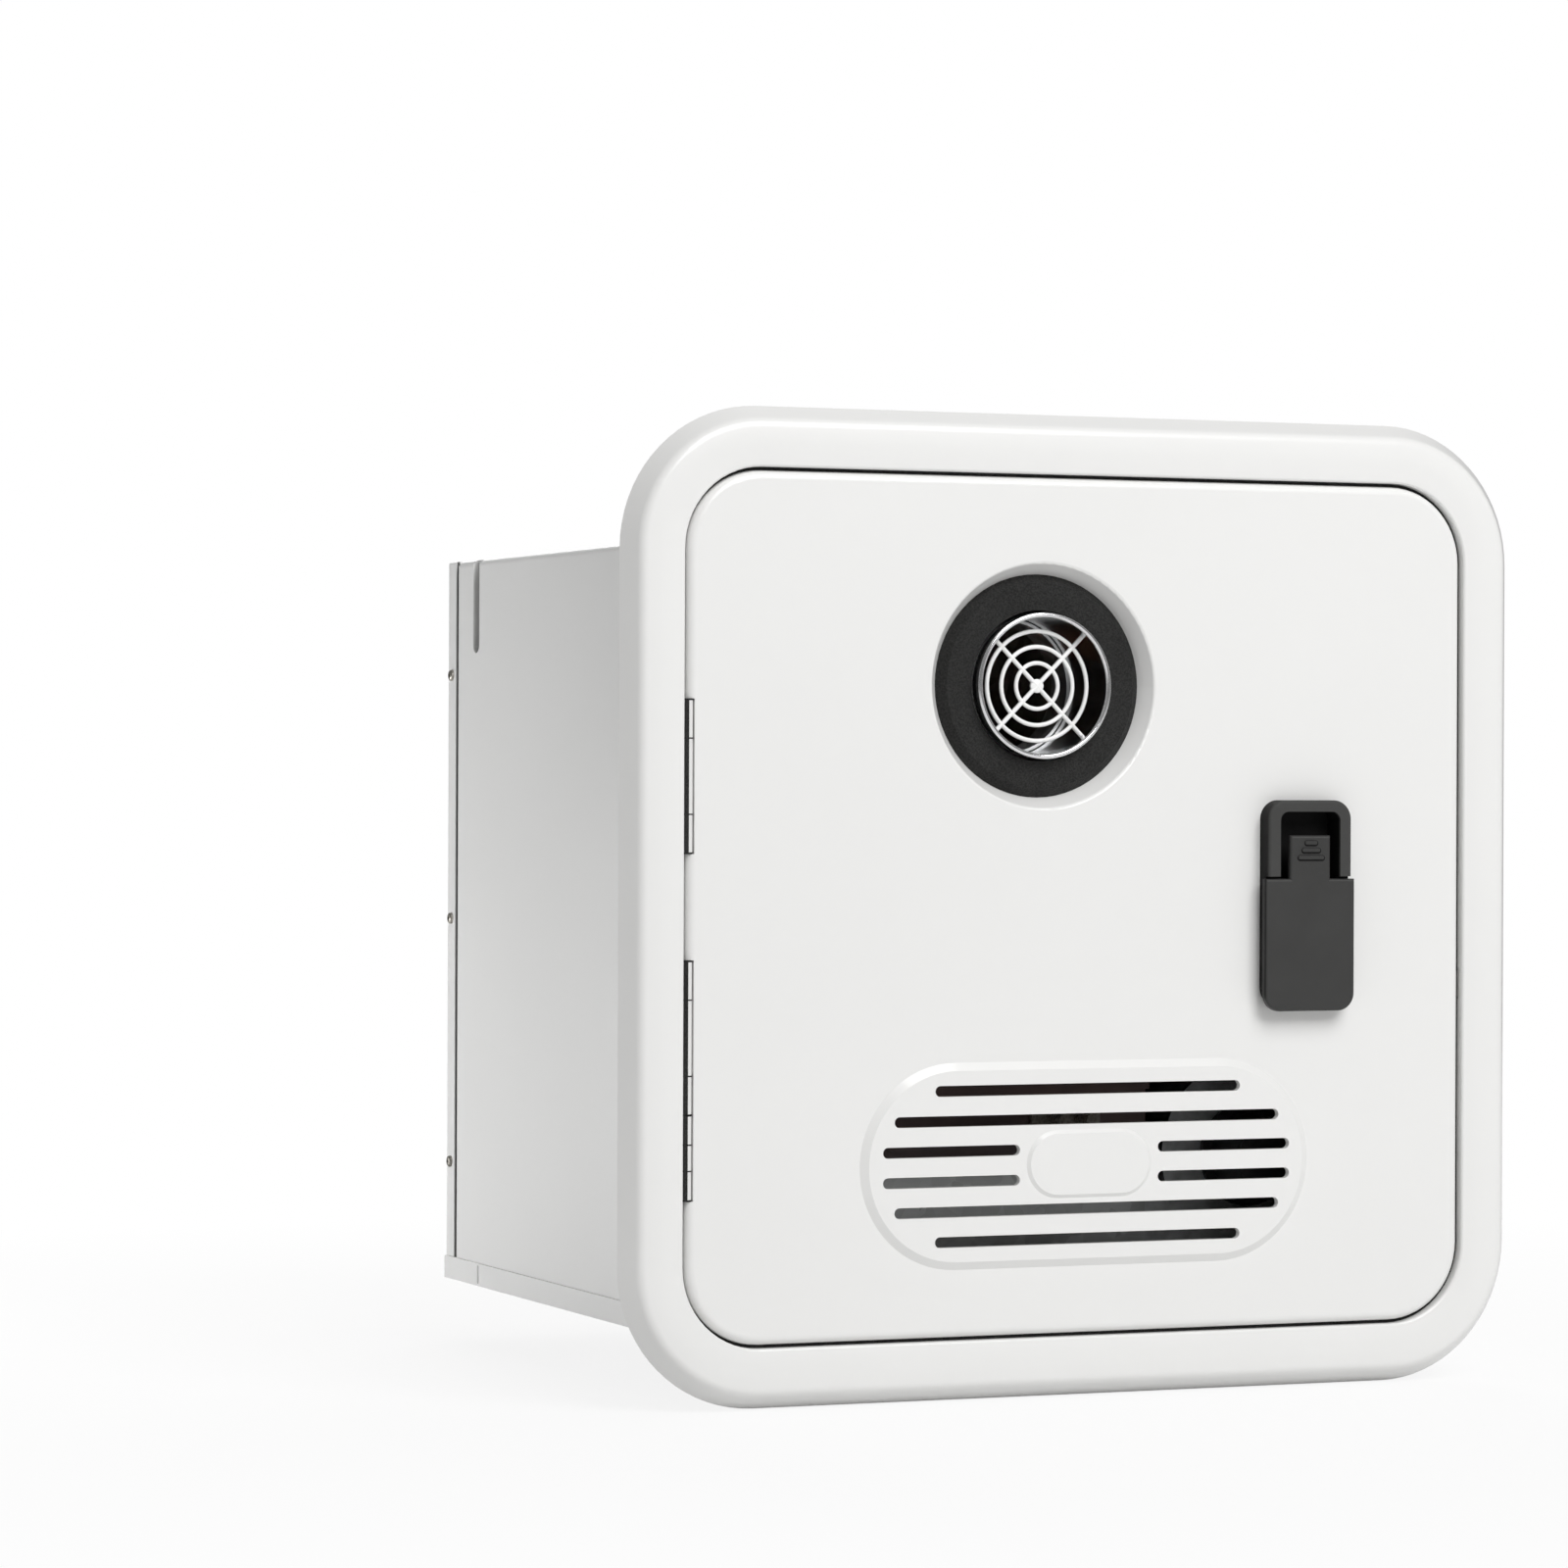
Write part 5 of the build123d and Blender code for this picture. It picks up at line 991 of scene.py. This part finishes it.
class HEATER_OT_socket_pins(bpy.types.Operator):
    """Makes the bright contact pins in the two sockets"""

    bl_idname = "heater.socket_pins"
    bl_label = "Socket pins"

    def execute(self, context):
        radius = context.scene.heater_sizes.pin_radius
        mesh = bmesh.new()
        for node, places in SOCKET_PINS.items():
            low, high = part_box(node)
            middle = (low + high) / 2
            for x, z in places:
                centre = Vector((middle.x + x * MM, 0.0, middle.z + z * MM))
                profile = [
                    (0.0, high.y - 4.0 * MM),
                    (radius, high.y - 4.0 * MM),
                    (radius, high.y - 0.5 * MM),
                    (radius * 0.8, high.y),
                    (0.0, high.y + 0.15 * MM),
                ]
                lathe(mesh, profile, centre, 20)
        weld(mesh)
        finish_piece(mesh, "socket_pins", nickel_finish(), "cabinet", 40.0)
        return {"FINISHED"}


class HEATER_OT_studio(bpy.types.Operator):
    """Sets the floor, lamps, world and camera"""

    bl_idname = "heater.studio"
    bl_label = "Studio"

    def execute(self, context):
        scene = context.scene
        studio = scene.heater_studio
        scene.view_settings.view_transform = "Standard"
        self.world(scene)
        self.floor(scene)
        for name, place, side, power, aim in (
            ("key_lamp", (0.35, -1.95, 1.75), 1.6, 55.0, (0.0, 0.0, 0.0)),
            ("left_lamp", (-0.6, 0.5, -0.15), 0.25, 1.65, (-0.15, 0.15, -0.1)),
            ("top_lamp", (0.2, 0.2, 1.9), 1.4, 1.5, (0.0, 0.1, 0.0)),
            ("rear_lamp", (0.7, 2.2, 1.2), 1.5, 24.0, (0.0, 0.2, 0.0)),
        ):
            data = bpy.data.lights.new(name, "AREA")
            data.shape = "SQUARE"
            data.size = side
            data.energy = power * studio.light
            lamp = bpy.data.objects.new(name, data)
            lamp.location = place
            lamp.rotation_euler = (Vector(aim) - Vector(place)).to_track_quat("-Z", "Y").to_euler()
            lamp.visible_camera = False
            scene.collection.objects.link(lamp)
        self.camera(scene, studio)
        return {"FINISHED"}

    def world(self, scene):
        world = bpy.data.worlds.new("studio_world")
        world.use_nodes = True
        tree = world.node_tree
        back = tree.nodes["Background"]
        back.inputs["Color"].default_value = (1.0, 1.0, 1.0, 1.0)
        path = tree.nodes.new("ShaderNodeLightPath")
        strength = tree.nodes.new("ShaderNodeMapRange")
        strength.inputs["To Min"].default_value = 0.23
        strength.inputs["To Max"].default_value = 1.0
        tree.links.new(path.outputs["Is Camera Ray"], strength.inputs["Value"])
        tree.links.new(strength.outputs["Result"], back.inputs["Strength"])
        scene.world = world

    def floor(self, scene):
        mesh = bmesh.new()
        bmesh.ops.create_grid(mesh, x_segments=1, y_segments=1, size=12.0)
        bmesh.ops.translate(mesh, verts=mesh.verts[:], vec=(0.0, 0.0, cad_box[0].z - 0.4 * MM))
        data = bpy.data.meshes.new("studio_floor")
        mesh.to_mesh(data)
        mesh.free()
        finish = Finish("studio_floor", Roughness=0.9)
        finish.put("Base Color", (0.86, 0.86, 0.86, 1.0))
        camera_ray = finish.node("ShaderNodeLightPath", output="Is Camera Ray")
        glow = finish.node("ShaderNodeEmission", {"Color": (1.0, 1.0, 1.0, 1.0), "Strength": 1.0})
        reach = finish.node("ShaderNodeVectorMath", (finish.place,), 1, operation="LENGTH")
        seen = camera_ray * (0.86 + finish.band(reach, 0.35, 0.9) * 0.14)
        lit = Flow(finish, finish.shader.outputs[0])
        shown = finish.node("ShaderNodeMixShader", (seen, lit, glow))
        output = finish.tree.nodes["Material Output"]
        finish.tree.links.new(shown.socket, output.inputs["Surface"])
        data.materials.append(finish.material)
        floor = bpy.data.objects.new("studio_floor", data)
        scene.collection.objects.link(floor)

    def camera(self, scene, studio):
        heading, tilt, roll = studio.heading, studio.tilt, studio.roll
        ahead = Vector(
            (math.sin(heading) * math.cos(tilt), math.cos(heading) * math.cos(tilt), math.sin(tilt))
        )
        right = Vector((math.cos(heading), -math.sin(heading), 0.0))
        above = right.cross(ahead)
        place = right * CAMERA_ASIDE + above * CAMERA_ABOVE - ahead * studio.distance
        place += Vector(AIM_POINT)
        level = right * math.cos(roll) + above * math.sin(roll)
        upright = above * math.cos(roll) - right * math.sin(roll)
        data = bpy.data.cameras.new("photo_camera")
        data.lens = studio.lens
        data.sensor_width = 36.0
        data.clip_start = 0.05
        data.clip_end = 60.0
        camera = bpy.data.objects.new("photo_camera", data)
        turn = Matrix((level, upright, -ahead)).transposed().to_4x4()
        camera.matrix_world = Matrix.Translation(place) @ turn
        scene.collection.objects.link(camera)
        scene.camera = camera


class HEATER_PT_panel(bpy.types.Panel):
    """Lists the heater's operators and settings"""

    bl_idname = "HEATER_PT_panel"
    bl_label = "Water Heater"
    bl_space_type = "VIEW_3D"
    bl_region_type = "UI"
    bl_category = "Water Heater"

    def draw(self, context):
        layout = self.layout
        for operator in OPERATORS:
            layout.operator(operator.bl_idname)
        for group in ("heater_colours", "heater_sizes", "heater_studio"):
            settings = getattr(context.scene, group)
            box = layout.box()
            for name in settings.__annotations__:
                box.prop(settings, name)


OPERATORS = (
    HEATER_OT_finishes,
    HEATER_OT_guard,
    HEATER_OT_hinge_details,
    HEATER_OT_door_seam_shade,
    HEATER_OT_lever_painted_shadows,
    HEATER_OT_fittings,
    HEATER_OT_screws,
    HEATER_OT_socket_pins,
    HEATER_OT_studio,
)
CLASSES = (HeaterColours, HeaterSizes, HeaterStudio, *OPERATORS, HEATER_PT_panel)


def register():
    for item in CLASSES:
        bpy.utils.register_class(item)
    bpy.types.Scene.heater_colours = bpy.props.PointerProperty(type=HeaterColours)
    bpy.types.Scene.heater_sizes = bpy.props.PointerProperty(type=HeaterSizes)
    bpy.types.Scene.heater_studio = bpy.props.PointerProperty(type=HeaterStudio)


def unregister():
    del bpy.types.Scene.heater_colours
    del bpy.types.Scene.heater_sizes
    del bpy.types.Scene.heater_studio
    for item in reversed(CLASSES):
        bpy.utils.unregister_class(item)


def main():
    register()
    bpy.ops.heater.finishes()
    bpy.ops.heater.guard()
    bpy.ops.heater.hinge_details()
    bpy.ops.heater.door_seal()
    bpy.ops.heater.lever_marks()
    bpy.ops.heater.fittings()
    bpy.ops.heater.screws()
    bpy.ops.heater.socket_pins()
    bpy.ops.heater.studio()


if __name__ == "__main__":
    main()
